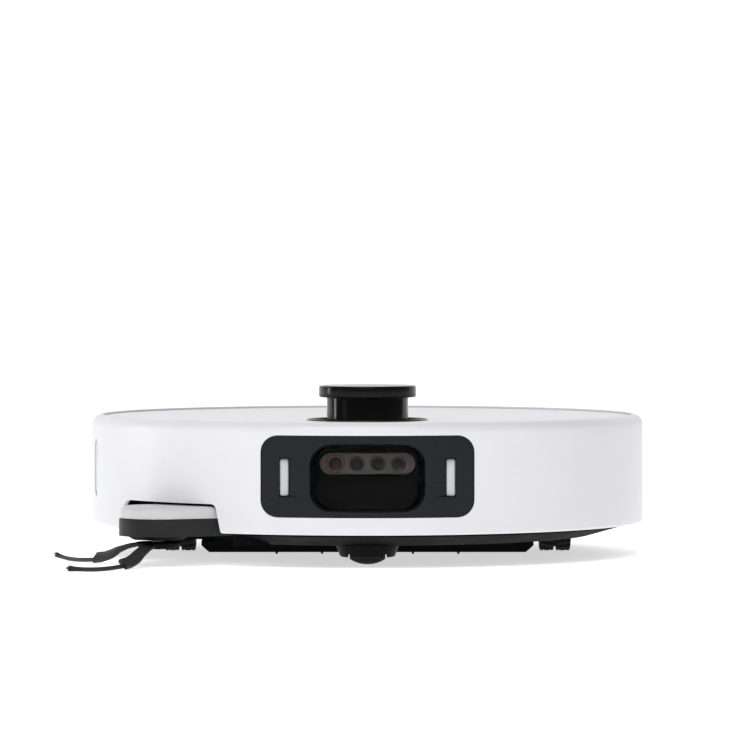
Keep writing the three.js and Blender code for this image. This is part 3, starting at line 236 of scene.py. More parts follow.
def moulded(name, colour, rough, spread, grain, smudge=0.08, wear=0.0, wear_colour=(0.4, 0.4, 0.4),
            metallic=0.0, specular=0.5, coat=0.0, stretch=(1, 1, 1), transmission=0.0, ior=1.45):
    """A moulded surface: mottled colour, uneven gloss, fine grain, and edges rubbed by use.
    spread is how far the colour varies, grain its scale and strength, smudge how far the gloss varies."""
    tree, shader = surface(name)
    place = tree.nodes.new("ShaderNodeTexCoord")
    scaled = node(tree, "ShaderNodeMapping", {"Scale": stretch})
    tree.links.new(place.outputs["Object"], scaled.inputs["Vector"])

    def noise(scale, detail=3.0):
        made = node(tree, "ShaderNodeTexNoise", {"Scale": scale, "Detail": detail, "Roughness": 0.6})
        tree.links.new(scaled.outputs["Vector"], made.inputs["Vector"])
        return made.outputs["Fac"]

    dark = tuple(c * (1 - spread) for c in colour)
    light = tuple(min(1.0, c * (1 + spread)) for c in colour)
    paint = mixed(tree, mapped(tree, noise(45), 0.0, 1.0), dark, light)
    if wear:
        shape = tree.nodes.new("ShaderNodeNewGeometry")
        edge = mapped(tree, shape.outputs["Pointiness"], 0.0, wear, 0.5, 0.58)
        rub = sum_or_product(tree, "MULTIPLY", edge, mapped(tree, noise(160), 0.2, 1.0))
        paint = mixed(tree, rub, paint, wear_colour)
    tree.links.new(paint, shader.inputs["Base Color"])
    gloss = mapped(tree, noise(28, 5.0), max(0.02, rough - smudge), min(1.0, rough + smudge))
    tree.links.new(gloss, shader.inputs["Roughness"])
    scale, strength = grain
    bumped(tree, shader, noise(scale, 2.0), strength, 0.00006)
    fill(shader, {"Metallic": metallic, "Specular IOR Level": specular, "Coat Weight": coat,
                  "Coat Roughness": 0.08, "Transmission Weight": transmission, "IOR": ior})


def looped_cloth(name, colour):
    """Looped microfibre: tufts in rows, with painted highlight on the loop tips and painted shade in the gaps
    between them.
    """
    tree, shader = surface(name)
    place = tree.nodes.new("ShaderNodeTexCoord")

    def textured(kind, values):
        made = node(tree, kind, values)
        tree.links.new(place.outputs["Object"], made.inputs["Vector"])
        return made

    def tone(k):
        return tuple(min(1, c * k) for c in colour)

    loops = textured("ShaderNodeTexVoronoi", {"Scale": 520.0, "Randomness": 0.75})
    fibres = textured("ShaderNodeTexNoise", {"Scale": 2600.0, "Detail": 4.0})
    patches = textured("ShaderNodeTexNoise", {"Scale": 40.0, "Detail": 3.0})
    depth = mapped(tree, loops.outputs["Distance"], 1.0, 0.0, 0.0, 0.7)
    # Painted light and shade: the loop height darkens the colour in the gaps between loops and lightens it on
    # their tips.
    shade = mixed(tree, depth, tone(0.45), tone(1.25))
    tint = mixed(tree, mapped(tree, patches.outputs["Fac"], 0.0, 0.35), shade, tone(0.7))
    tree.links.new(tint, shader.inputs["Base Color"])
    height = sum_or_product(tree, "ADD", depth, mapped(tree, fibres.outputs["Fac"], 0.0, 0.5))
    bumped(tree, shader, height, 0.7, 0.0008)
    tree.links.new(mapped(tree, fibres.outputs["Fac"], 0.85, 1.0), shader.inputs["Roughness"])
    fill(shader, {"Sheen Weight": 0.35, "Specular IOR Level": 0.2})


moulded("white_shell", (0.83, 0.83, 0.86), 0.32, 0.008, (3200, 0.02), smudge=0.015)
moulded("white_satin", (0.8, 0.8, 0.83), 0.42, 0.01, (3800, 0.05))
moulded("arm_white", (0.64, 0.64, 0.65), 0.38, 0.012, (3600, 0.04))
moulded("gear_plastic", (0.72, 0.71, 0.66), 0.5, 0.03, (1500, 0.05))
moulded("dark_plastic", (0.0045, 0.005, 0.0055), 0.55, 0.12, (4200, 0.25),
        specular=0.035, wear=0.06, wear_colour=(0.03, 0.03, 0.031))
moulded("arm_dark", (0.022, 0.0225, 0.023), 0.42, 0.1, (4200, 0.15),
        specular=0.15, wear=0.06, wear_colour=(0.08, 0.08, 0.08))
moulded("panel", (0.0095, 0.0115, 0.0145), 0.3, 0.06, (3800, 0.1), specular=0.25, smudge=0.04)
moulded("housing_black", (0.006, 0.006, 0.0062), 0.4, 0.1, (2400, 0.05), specular=0.1)
moulded("black_gloss", (0.0014, 0.0018, 0.0018), 0.12, 0.1, (2200, 0.008), smudge=0.03, specular=0.24)
moulded("cap_black", (0.003, 0.0034, 0.0038), 0.17, 0.08, (3600, 0.02), smudge=0.03, specular=0.2)
moulded("strip_black", (0.22, 0.198, 0.185), 0.42, 0.08, (2400, 0.05), specular=0.3)
moulded("smoked_window", (0.62, 0.62, 0.62), 0.02, 0.02, (600, 0.002),
        smudge=0.01, transmission=1.0, specular=0.15, ior=1.1)
moulded("smoked_bin", (0.05, 0.05, 0.055), 0.16, 0.06, (900, 0.02))
moulded("grey_plastic", (0.13, 0.14, 0.15), 0.5, 0.06, (3400, 0.18), wear=0.15)
moulded("sensor_grey", (0.55, 0.55, 0.57), 0.12, 0.05, (1800, 0.01), smudge=0.03, coat=0.6)
moulded("led_diffuser", (0.62, 0.65, 0.67), 0.35, 0.03, (2400, 0.04), coat=0.2)
moulded("bronze_dish", (0.055, 0.034, 0.022), 0.26, 0.1, (2600, 0.03), metallic=0.75, stretch=(1, 1, 8))
moulded("plated_steel", (0.55, 0.56, 0.57), 0.28, 0.05, (1400, 0.06), metallic=1.0, stretch=(1, 1, 14))
moulded("black_rubber", (0.006, 0.0063, 0.0066), 0.62, 0.15, (2600, 0.25),
        wear=0.08, wear_colour=(0.05, 0.05, 0.05), specular=0.15)
moulded("leg_rubber", (0.03, 0.03, 0.031), 0.5, 0.12, (2600, 0.15), specular=0.25)
moulded("tyre_rubber", (0.007, 0.007, 0.0076), 0.74, 0.2, (2000, 0.4),
        wear=0.15, wear_colour=(0.05, 0.048, 0.045), specular=0.12)
moulded("bristle", (0.022, 0.022, 0.024), 0.4, 0.3, (900, 0.05))
moulded("lens_glass", (0.05, 0.045, 0.045), 0.1, 0.1, (400, 0.002), smudge=0.015, specular=0.3)
moulded("lens_ring", (0.3, 0.16, 0.11), 0.35, 0.08, (2400, 0.04), metallic=0.6)
moulded("dark_ring", (0.1, 0.095, 0.09), 0.3, 0.1, (2400, 0.05), metallic=0.4)
moulded("filter_pleats", (0.6, 0.6, 0.56), 0.9, 0.06, (1800, 0.4), stretch=(12, 1, 1))
looped_cloth("mop_cloth", (0.34, 0.35, 0.37))


# --- mesh helpers
def as_object(name, bm):
    mesh = bpy.data.meshes.new(name)
    bm.to_mesh(mesh)
    bm.free()
    return linked(name, mesh)


def from_bmesh(name, bm):
    bmesh.ops.recalc_face_normals(bm, faces=bm.faces)
    return as_object(name, bm)


def baked(obj):
    """Applies the object's modifiers to its mesh."""
    evaluated = obj.evaluated_get(bpy.context.evaluated_depsgraph_get())
    mesh = bpy.data.meshes.new_from_object(evaluated)
    obj.modifiers.clear()
    obj.data = mesh


def boolean(obj, cutters, operation="DIFFERENCE"):
    for cutter in cutters:
        mod = obj.modifiers.new("cut", "BOOLEAN")
        mod.operation = operation
        mod.solver = "EXACT"
        mod.object = cutter
        baked(obj)
        bpy.data.objects.remove(cutter)


def smooth(obj, angle=30):
    for p in obj.data.polygons:
        p.use_smooth = True
    obj.data.set_sharp_from_angle(angle=math.radians(angle))
    return obj


def edged(obj, width, segments=2, angle=30):
    """Rounds the hard edges a little, as a mould leaves them."""
    smooth(obj, angle)
    mod = obj.modifiers.new("edge", "BEVEL")
    mod.width = width
    mod.segments = segments
    mod.limit_method = "ANGLE"
    mod.angle_limit = math.radians(angle)
    mod.harden_normals = True
    return obj


def filleted(points, radius, steps=4):
    """A closed polygon with its corners rounded; radius is one number, or one for each corner."""
    n = len(points)
    radii = radius if isinstance(radius, (list, tuple)) else [radius] * n
    out = []
    for i, p in enumerate(points):
        p = Vector(p)
        a = Vector(points[i - 1]) - p
        b = Vector(points[(i + 1) % n]) - p
        r = radii[i]
        turn = a.angle(b)
        if r <= 0 or turn > math.radians(176):
            out.append(tuple(p))
            continue
        reach = min(r / math.tan(turn / 2), a.length * 0.48, b.length * 0.48)
        start, end = p + a.normalized() * reach, p + b.normalized() * reach
        for k in range(steps + 1):
            t = k / steps
            out.append(tuple(start.lerp(p, t).lerp(p.lerp(end, t), t)))
    return out


def lathe(name, loop, centre=(0, 0), steps=96, axis="Z", arc=None):
    """A closed loop of (radius, height) turned round an upright axis, or one along X."""
    bm = bmesh.new()
    rows = []
    full = arc is None
    start, end = (0, TAU) if full else arc
    count = steps if full else steps + 1
    for i in range(count):
        a = start + (end - start) * i / steps
        c, s = math.cos(a), math.sin(a)
        if axis == "Z":
            rows.append([bm.verts.new((centre[0] + r * c, centre[1] + r * s, h)) for r, h in loop])
        else:
            rows.append([bm.verts.new((h, centre[0] + r * c, centre[1] + r * s)) for r, h in loop])
    n = len(loop)
    for i in range(steps):
        a, b = rows[i], rows[(i + 1) % count]
        for j in range(n):
            k = (j + 1) % n
            if loop[j][0] < 1e-7 and loop[k][0] < 1e-7:
                continue
            bm.faces.new((a[j], b[j], b[k], a[k]))
    if not full:
        bm.faces.new(rows[0])
        bm.faces.new(rows[-1])
    bmesh.ops.remove_doubles(bm, verts=bm.verts, dist=1e-7)
    bmesh.ops.dissolve_degenerate(bm, edges=bm.edges, dist=1e-8)
    return from_bmesh(name, bm)


def turned_y(name, loop, x, z, steps):
    """A closed loop of (radius, y) turned round an axis along Y."""
    made = lathe(name, loop, (0, 0), steps)
    made.data.transform(Matrix(((1, 0, 0, x), (0, 0, 1, 0), (0, -1, 0, z), (0, 0, 0, 1))))
    return made


def bar_loop(r, low, high):
    """The section of a plain round bar."""
    return [(0, low), (r, low), (r, high), (0, high)]


def drill(r, low, high, centre, steps, axis="Z"):
    """A plain round bar, used only to cut other pieces."""
    return lathe("cut", bar_loop(r, low, high), centre, steps, axis)


def rounded_rect(w, h, r, steps=8):
    """Points round a rectangle with rounded corners."""
    r = min(r, w / 2 - 1e-6, h / 2 - 1e-6)
    out = []
    for cx, cy, start in ((1, -1, -90), (1, 1, 0), (-1, 1, 90), (-1, -1, 180)):
        for i in range(steps + 1):
            a = math.radians(start + 90 * i / steps)
            out.append((cx * (w / 2 - r) + r * math.cos(a), cy * (h / 2 - r) + r * math.sin(a)))
    return out


def capsule(a, ra, b, rb, steps=20):
    """Points round two circles joined by their outer tangents."""
    along = math.atan2(b[1] - a[1], b[0] - a[0])
    lean = math.acos((ra - rb) / math.hypot(b[0] - a[0], b[1] - a[1]))
    out = []
    for centre, r, start, end in ((b, rb, along - lean, along + lean),
                                  (a, ra, along + lean, along - lean + TAU)):
        for i in range(steps + 1):
            t = start + (end - start) * i / steps
            out.append((centre[0] + r * math.cos(t), centre[1] + r * math.sin(t)))
    return out


def arc(cx, cz, r, start, end, steps):
    """Points along an arc, its angles in degrees."""
    turns = [math.radians(start + (end - start) * i / steps) for i in range(steps + 1)]
    return [(cx + r * math.cos(a), cz + r * math.sin(a)) for a in turns]


def plan(r, degrees, centre=(0, 0)):
    """The point at a radius and an angle from a centre, seen from above."""
    a = math.radians(degrees)
    return (centre[0] + r * math.cos(a), centre[1] + r * math.sin(a))


def bridged(bm, rows):
    """Joins each closed row of vertices to the next with quads."""
    n = len(rows[0])
    for a, b in zip(rows, rows[1:]):
        for j in range(n):
            k = (j + 1) % n
            bm.faces.new((a[j], a[k], b[k], b[j]))


def capped(bm, rows):
    bm.faces.new(rows[0])
    bm.faces.new(rows[-1])


def stacked(name, rings, close=True):
    """A skin over rings that each have the same number of points."""
    bm = bmesh.new()
    rows = [[bm.verts.new(p) for p in ring] for ring in rings]
    bridged(bm, rows)
    if close:
        capped(bm, rows)
    return from_bmesh(name, bm)


def soft_prism(name, outline, z0, z1, low=0.0005, top=0.0005, steps=4):
    """An upright prism whose lower and upper edges are rounded. outline(margin) gives its points."""
    turns = [math.radians(90 * i / steps) for i in range(steps + 1)]
    rings = []
    for a in turns:
        margin = -low * (1 - math.cos(math.pi / 2 - a))
        rings.append([(x, y, z0 + low * (1 - math.sin(a))) for x, y in outline(margin)])
    for a in turns:
        margin = -top * (1 - math.cos(a))
        rings.append([(x, y, z1 - top * (1 - math.sin(a))) for x, y in outline(margin)])
    return stacked(name, rings)


def front_prism(name, points, y0, y1, z, grow=0.0, angle=0.0):
    """An outline in X and Z, seen from the front, pushed from y = -y0 out to -y1 and turned
    about the body's axis. grow widens its outer end."""
    rings = []
    for y, scale in ((y0, 0.0), (y1, grow)):
        ring = []
        for px, pz in points:
            length = math.hypot(px, pz) or 1
            ring.append(Vector((px * (1 + scale / length), -y, z + pz * (1 + scale / length))))
        rings.append(ring)
    turn = Matrix.Rotation(-angle, 3, "Z")
    return stacked(name, [[tuple(turn @ p) for p in ring] for ring in rings])


def pane(name, size, corner, centre, layers, steps):
    """A rounded plate facing the front. Each layer is its y and how far its outline is drawn in."""
    (w, h), (x, z) = size, centre
    rings = []
    for y, shrink in layers:
        outline = rounded_rect(w - 2 * shrink * MM, h - 2 * shrink * MM, corner, steps)
        rings.append([(x + px, y, z + pz) for px, pz in outline])
    return stacked(name, rings)


def upright(outline, z0, z1):
    """A plain prism, used only to cut other pieces."""
    return stacked("cut", [[(x, y, z) for x, y in outline] for z in (z0, z1)])


def half_space(y0, y1):
    """A plain box past everything in X and Z, used only to cut other pieces."""
    return upright([(-FAR, y0), (FAR, y0), (FAR, y1), (-FAR, y1)], -FAR, FAR)


def swept(name, centres, frames, section, taper):
    """A section of (across, up) points carried along a path. Each step has its (side, up)
    frame and how much its section is widened and thickened."""
    rings = []
    for c, (side, up), (wide, thick) in zip(centres, frames, taper):
        rings.append([tuple(c + side * (u * wide) + up * (v * thick)) for u, v in section])
    return stacked(name, rings)


def strand(bm, points, r, tip=1.0, sides=4):
    """A thin tube through points, added to bm; its end is tip times as thick."""
    rows = []
    n = len(points)
    turns = [TAU * j / sides for j in range(sides)]
    for i, p in enumerate(points):
        p = Vector(p)
        ahead = Vector(points[min(i + 1, n - 1)]) - Vector(points[max(i - 1, 0)])
        side = ahead.cross(Vector((0, 0, 1)))
        side = side.normalized() if side.length > 1e-9 else Vector((1, 0, 0))
        up = side.cross(ahead).normalized()
        k = r * (1 + (tip - 1) * i / (n - 1))
        rows.append([bm.verts.new(p + side * (k * math.cos(a)) + up * (k * math.sin(a))) for a in turns])
    bridged(bm, rows)
    capped(bm, rows)


def merged(name, objects):
    """Several meshes as one object."""
    bm = bmesh.new()
    for obj in objects:
        bm.from_mesh(obj.data)
        bpy.data.objects.remove(obj)
    return as_object(name, bm)


def placed(obj, body, slot, material=None, *nodes):
    """Gives a finished piece its material, named by its slot unless another is given, and its body, and hides
    the CAD nodes it stands for.
    """
    obj.data.materials.clear()
    obj.data.materials.append(MATERIALS[material or slot])
    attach(obj, body)
    if nodes:
        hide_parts(*nodes)
    return obj


# --- outer shells
WALL = 2.5 * MM
RIM_W = 7 * MM
FILLET = 6.5 * MM
FOOT_R = 1.6 * MM
UNDER_RIM = 4.8 * MM
SLIT = 0.7 * MM  # an opening's size over the size of the piece in it
SHELL_SIDES = 256
CUT_IN, CUT_OUT = 0.155, 0.19  # the cutters of a shell's openings run from here out to here

BUMPER_FLANGE_R, REAR_FLANGE_R = 168.2 * MM, 165.4 * MM
PANEL_R = 10 * MM
SENSOR_TURN, SENSOR_W, SENSOR_R = math.radians(77), 13 * MM, 6.4 * MM
NOTCH_TURN = math.radians(47)
NOTCH_LEFT, NOTCH_RIGHT, NOTCH_LEAN = 44.5 * MM, 52.8 * MM, 7.5 * MM
NOTCH_TOP = FLOOR_Z + 38.2 * MM
NOTCH_CORNERS = [0, 0, 4 * MM, 7.5 * MM]

CONTACT_TURN, CONTACT_Z = 12, 21.5 * MM
CONTACT_HOLE = rounded_rect(16.6 * MM, 9.6 * MM, 2.1 * MM)
VENTS, VENT_TURN, VENT_PITCH, VENT_Z = 7, -128, 2.6, 39.5 * MM
VENT_SLOT = rounded_rect(3 * MM, 22 * MM, 1.45 * MM, 5)
SCREEN_R, SCREEN_HALF, SCREEN_WIRE = 171.4 * MM, 11.5, 0.22 * MM
SCREEN_LOW, SCREEN_HIGH = VENT_Z - 13 * MM, VENT_Z + 13 * MM
SCREEN_UPRIGHTS, SCREEN_HOOPS = 60, 23


def shell_loop(flange_r, under=UNDER_RIM):
    """The section of a shell; under is how far in the space below its rim starts."""
    top, r = RIM_TOP, BODY_R
    foot, wall = SKIRT + FOOT_R, top - FILLET - SKIRT - FOOT_R
    lip, floor_in = r - RIM_W, SKIRT + 2.2 * MM
    return (
        [(flange_r, SKIRT + 0.4 * MM), (flange_r + 0.4 * MM, SKIRT), (r - FOOT_R, SKIRT)]
        + arc(r - FOOT_R, foot, FOOT_R, -80, 0, 6)
        + [(r, foot + wall * k / 14) for k in range(1, 14)]
        + arc(r - FILLET, top - FILLET, FILLET, 0, 90, 14)
        + [(lip + 0.42 * MM, top), (lip + 0.13 * MM, top - 0.14 * MM), (lip, top - 0.5 * MM)]
        + [(lip, top - 1 * MM), (r - under, top - 1.05 * MM), (r - under, top - 3.2 * MM)]
        + [(r - WALL, top - FILLET), (r - WALL, floor_in), (flange_r, floor_in)]
    )


def bumper():
    ring = lathe("bumper_shell", shell_loop(BUMPER_FLANGE_R), steps=SHELL_SIDES)
    w, h, z = front_of("sensor_panel")
    panel_hole = front_prism("cut", rounded_rect(w + SLIT, h + SLIT, PANEL_R + 0.4 * MM), 0.13, CUT_OUT, z)
    h, z = front_of("wall_sensor_window")[1:]
    hole = rounded_rect(SENSOR_W + SLIT, h + SLIT, SENSOR_R + 0.4 * MM)
    sensor = front_prism("cut", hole, CUT_IN, CUT_OUT, z, angle=SENSOR_TURN)
    low = -8 * MM
    corners = [(-NOTCH_LEFT, low), (NOTCH_RIGHT, low), (NOTCH_RIGHT - NOTCH_LEAN, NOTCH_TOP),
               (-NOTCH_LEFT + NOTCH_LEAN, NOTCH_TOP)]
    notch = front_prism("cut", filleted(corners, NOTCH_CORNERS, 6), 0.145, 0.185, 0, angle=NOTCH_TURN)
    boolean(ring, [half_space(BOX["bumper"][1][1], FAR), panel_hole, sensor, notch])
    placed(edged(ring, 0.5 * MM, 3, 35), "bumper", "white_shell", None, "bumper")


def rear_shell():
    ring = lathe("rear_shell_body", shell_loop(REAR_FLANGE_R, RIM_W - 0.05 * MM), steps=SHELL_SIDES)
    cutters = [half_space(-FAR, BOX["rear_shell"][0][1])]
    for side in (-1, 1):
        turn = math.radians(180 + side * CONTACT_TURN)
        cutters.append(front_prism("cut", CONTACT_HOLE, CUT_IN, CUT_OUT, CONTACT_Z, angle=turn))
    for i in range(VENTS):
        turn = math.radians(VENT_TURN + (i - VENTS // 2) * VENT_PITCH)
        cutters.append(front_prism("cut", VENT_SLOT, CUT_IN, CUT_OUT, VENT_Z, angle=turn))
    boolean(ring, cutters)
    placed(edged(ring, 0.45 * MM, 2, 35), "chassis", "white_shell", None, "rear_shell")


def vent_screen():
    """A woven dust screen behind the outlet slots."""
    bm = bmesh.new()
    first, rise = -90 - VENT_TURN - SCREEN_HALF, SCREEN_HIGH - SCREEN_LOW
    for i in range(SCREEN_UPRIGHTS):
        x, y = plan(SCREEN_R, first + 2 * SCREEN_HALF * i / (SCREEN_UPRIGHTS - 1))
        strand(bm, [(x, y, SCREEN_LOW + rise * k / 6) for k in range(7)], SCREEN_WIRE)
    hoop = [plan(SCREEN_R - 0.3 * MM, first + 2 * SCREEN_HALF * k / 24) for k in range(25)]
    for i in range(SCREEN_HOOPS):
        z = SCREEN_LOW + rise * i / (SCREEN_HOOPS - 1)
        strand(bm, [(x, y, z) for x, y in hoop], SCREEN_WIRE)
    placed(smooth(from_bmesh("vent_screen", bm), 60), "chassis", "dark_plastic", "black_rubber")


def top_cover():
    (_, _, z0), (r, _, z1) = BOX["top_cover"]
    edge = 0.9 * MM
    loop = [(0, z0), (r - 0.3 * MM, z0), (r, z0 + 0.3 * MM)] + arc(r - edge, z1 - edge, edge, 0, 90, 5)
    loop += [(r * k / 12, z1) for k in range(11, 0, -1)] + [(0, z1)]
    cover = lathe("cover_plate", loop, steps=SHELL_SIDES)
    through = (z0 - PAST, z1 + PAST)
    cutters = [drill(radius_of("turret_well") + 0.6 * MM, *through, centre_of("turret_well")[:2], 128)]
    for name in ("home_button", "power_button"):
        cutters.append(drill(6.5 * MM, *through, centre_of(name)[:2], 48))
    # The finger scoop at the rear edge, to lift the cover by.
    outer, inner, deep = r + PAST, r - 6 * MM, 0.9 * MM
    scoop = [(-24 * MM, outer), (-18 * MM, inner), (18 * MM, inner), (24 * MM, outer)]
    cutters.append(upright(filleted(scoop, 4 * MM, 6), z1 - deep, z1 + PAST))
    boolean(cover, cutters)
    placed(edged(cover, 0.35 * MM, 3, 35), "top_cover", "white_shell", None, "top_cover")


def buttons():
    for name in ("home_button", "power_button"):
        r, (low, top) = radius_of(name), heights_of(name)
        stem, head, edge = 3.4 * MM, 2.2 * MM, 0.7 * MM
        loop = [(0, low), (stem, low), (stem, top - head), (r - 0.2 * MM, top - head)]
        loop += arc(r - edge, top - edge, edge, 0, 80, 5)
        loop += [(r - 1.6 * MM, top - 0.12 * MM), (r * 0.4, top - 0.35 * MM), (0, top - 0.4 * MM)]
        cap = lathe(name + "_cap", loop, centre_of(name)[:2], 64)
        placed(smooth(cap, 40), name, "white_shell", "white_satin", name)


# --- front sensors
PANEL_T = 6 * MM
CAMERA_MOUTH = rounded_rect(68 * MM, 38.6 * MM, 12 * MM, 10)
MOUTH_FLARE = 2.4 * MM
LED_GAP, LED_RUN = 0.4 * MM, 7.2 * MM  # space round a light bar, and how far its sloping pocket runs in
GASKET_FRONT, GASKET_BACK = -162 * MM, -157 * MM
LENS_X = (-19.2, -6.3, 6.2, 18.7)
FIRST_LENS = 1.25  # the first lens's size against the others
BARREL = [(2.9, 1.55), (4.35, 1.55), (4.35, 0.35), (4.1, 0.12), (3.75, 0.12), (3.55, 0.35), (3.45, 0.9),
          (3.0, 1.1), (2.9, 1.3)]
DOME = [(0, 1.5), (3.3, 1.5), (3.3, 1.15), (2.9, 0.86), (2.2, 0.62), (1.2, 0.46), (0, 0.4)]


def skin_slice(name, r, thick, z0, z1, steps, turns):
    """A stretch of round wall between two angles in degrees, taller than what is cut from it."""
    low, high, inner = z0 - PAST, z1 + PAST, r - thick
    loop = [(inner, low), (r, low), (r, high), (inner, high)]
    return lathe(name, loop, steps=steps, arc=[math.radians(turn) for turn in turns])


def led_pocket(name, side):
    """The pocket of a light bar, which slopes down to it from the camera's side."""
    (x0, y0, z0), (x1, y1, z1) = BOX[name]
    inner, outer = (x0, x1) if side == 1 else (x1, x0)
    ramp_x, ramp_y = inner - side * LED_GAP, y0 + 0.3 * MM
    mouth = inner - side * (LED_RUN + LED_GAP)
    rise = math.sqrt(BODY_R ** 2 - mouth ** 2) + ramp_y
    far = (2 * mouth - ramp_x, ramp_y - 2 * rise)
    back = outer + side * LED_GAP
    ring = [(back, y1 + LED_GAP), (ramp_x, y1 + LED_GAP), (ramp_x, ramp_y), far, (back, far[1])]
    return upright(ring, z0 - LED_GAP, z1 + LED_GAP)


def sensor_panel():
    w, h, z = front_of("sensor_panel")
    skin = skin_slice("sensor_frame", BODY_R, PANEL_T, z - h / 2, z + h / 2, 64, (-120, -60))
    boolean(skin, [front_prism("cut", rounded_rect(w, h, PANEL_R, 10), 0.13, CUT_OUT, z)], "INTERSECT")
    wz = centre_of("camera_window")[2]
    mouth = front_prism("cut", CAMERA_MOUTH, BODY_R - 6.5 * MM, BODY_R + 0.5 * MM, wz, grow=MOUTH_FLARE)
    back = front_prism("cut", CAMERA_MOUTH, 0.12, BODY_R - 5.8 * MM, wz)
    boolean(skin, [mouth, back, led_pocket("led_bar_left", 1), led_pocket("led_bar_right", -1)])
    placed(edged(skin, 0.7 * MM, 3, 28), "bumper", "dark_plastic", "panel", "sensor_panel")


def led_bars():
    for name in ("led_bar_left", "led_bar_right"):
        w, h, z = front_of(name)
        face = BOX[name][0][1]
        profile = ((0, 0.9), (0.25, 0.35), (0.7, 0.0), (2.2, 0.0), (2.4, 0.2))
        layers = [(face + depth * MM, shrink) for depth, shrink in profile]
        bar = pane(name + "_lens", (w, h), 1.3 * MM, (centre_of(name)[0], z), layers, 5)
        placed(smooth(bar, 50), "bumper", "led_diffuser", None, name)


def wall_sensor():
    h, z = front_of("wall_sensor_window")[1:]
    r = BODY_R - 0.6 * MM
    skin = skin_slice("wall_sensor_lens", r, 4.4 * MM, z - h / 2, z + h / 2, 48, (-174, -160))
    outline = rounded_rect(SENSOR_W, h, SENSOR_R, 10)
    boolean(skin, [front_prism("cut", outline, 0.15, CUT_OUT, z, angle=SENSOR_TURN)], "INTERSECT")
    placed(edged(skin, 0.5 * MM, 3, 30), "bumper", "smoked_window", "sensor_grey", "wall_sensor_window")


def camera_glass():
    w, h, z = front_of("camera_window")
    front, back = BOX["camera_window"][0][1], BOX["camera_window"][1][1]
    layers = [(front, 0.35), (front + 0.12 * MM, 0.1), (front + 0.4 * MM, 0), (back - 0.1 * MM, 0),
              (back, 0.1)]
    glass = pane("camera_glass", (w, h), 11 * MM, (0, z), layers, 12)
    placed(smooth(glass, 50), "chassis", "smoked_window", None, "camera_window")


def camera_gasket():
    """The dark rubber frame that closes the space round the glass."""
    w, h, z = front_of("camera_window")
    outer = rounded_rect(w + 8.4 * MM, h + 5 * MM, 13 * MM, 10)
    inner = rounded_rect(w + 0.5 * MM, h + 0.5 * MM, 11.2 * MM, 10)
    mid = rounded_rect(w + 1.7 * MM, h + 1.7 * MM, 11.6 * MM, 10)
    loops = [(inner, GASKET_BACK), (inner, GASKET_FRONT - 0.8 * MM), (mid, GASKET_FRONT - 1.6 * MM),
             (outer, GASKET_FRONT), (outer, GASKET_BACK), (inner, GASKET_BACK)]
    rings = [[(x, y, z + dz) for x, dz in points] for points, y in loops]
    gasket = stacked("camera_gasket", rings, close=False)
    bm = bmesh.new()
    bm.from_mesh(gasket.data)
    bmesh.ops.remove_doubles(bm, verts=bm.verts, dist=1e-6)
    bmesh.ops.recalc_face_normals(bm, faces=bm.faces)
    bm.to_mesh(gasket.data)
    bm.free()
    placed(edged(gasket, 0.25 * MM, 2, 35), "chassis", "black_rubber")


def lens_strip():
    """The strip with its four lens barrels."""
    w, h, z = front_of("lens_bar")
    front, back = BOX["lens_bar"][0][1], BOX["lens_bar"][1][1]
    layers = ((front, 0.5), (front + 0.18 * MM, 0.14), (front + 0.6 * MM, 0), (back, 0))
    strip = pane("lens_strip", (w, h), h / 2 - 0.2 * MM, (0, z), layers, 12)
    seats, lenses = [], []
    for i, x in enumerate(LENS_X):
        k = FIRST_LENS if i == 0 else 1.0
        seat = bar_loop(4.6 * MM * k, front - PAST, front + 1.6 * MM)
        seats.append(turned_y("cut", seat, x * MM, z, 40))
        for label, loop in (("barrel", BARREL), ("dome", DOME)):
            points = [(a * MM * k, front + b * MM) for a, b in loop]
            lenses.append(turned_y("lens_%s_%d" % (label, i), points, x * MM, z, 48))
    boolean(strip, seats)
    placed(edged(strip, 0.15 * MM, 2, 40), "chassis", "black_gloss", "strip_black", "lens_bar")
    for i in range(len(LENS_X)):
        placed(smooth(lenses[2 * i], 30), "chassis", "black_gloss", "lens_ring" if i == 0 else "dark_ring")
        placed(smooth(lenses[2 * i + 1], 40), "chassis", "black_gloss", "lens_glass")


# --- lidar turret
TURRET = centre_of("lidar_cap")[:2]


def turret_cap():
    r, (z0, z1) = radius_of("lidar_cap"), heights_of("lidar_cap")
    low, top, groove = 0.9 * MM, 1.3 * MM, 0.25 * MM
    loop = [(0, z0), (r - 1.2 * MM, z0)] + arc(r - low, z0 + low, low, -90, 0, 5)
    loop += arc(r - top, z1 - top, top, 0, 90, 7)
    loop += [(r - 3.2 * MM, z1), (r - 3.5 * MM, z1 - groove), (r - 3.9 * MM, z1 - groove),
             (r - 4.2 * MM, z1), (r * 0.5, z1), (0, z1)]
    cap = lathe("turret_cap", loop, TURRET, 128)
    placed(smooth(cap, 25), "turret", "black_gloss", "cap_black", "lidar_cap")


def turret_neck():
    name = "lidar_window_ring"
    r, (z0, z1) = radius_of(name), heights_of(name)
    inner = r - 1.8 * MM
    loop = filleted([(inner, z0), (r, z0), (r, z1), (inner, z1)], 0.3 * MM, 3)
    neck = lathe("turret_neck", loop, TURRET, 128)
    placed(smooth(neck, 40), "turret", "smoked_window", "black_gloss", name)


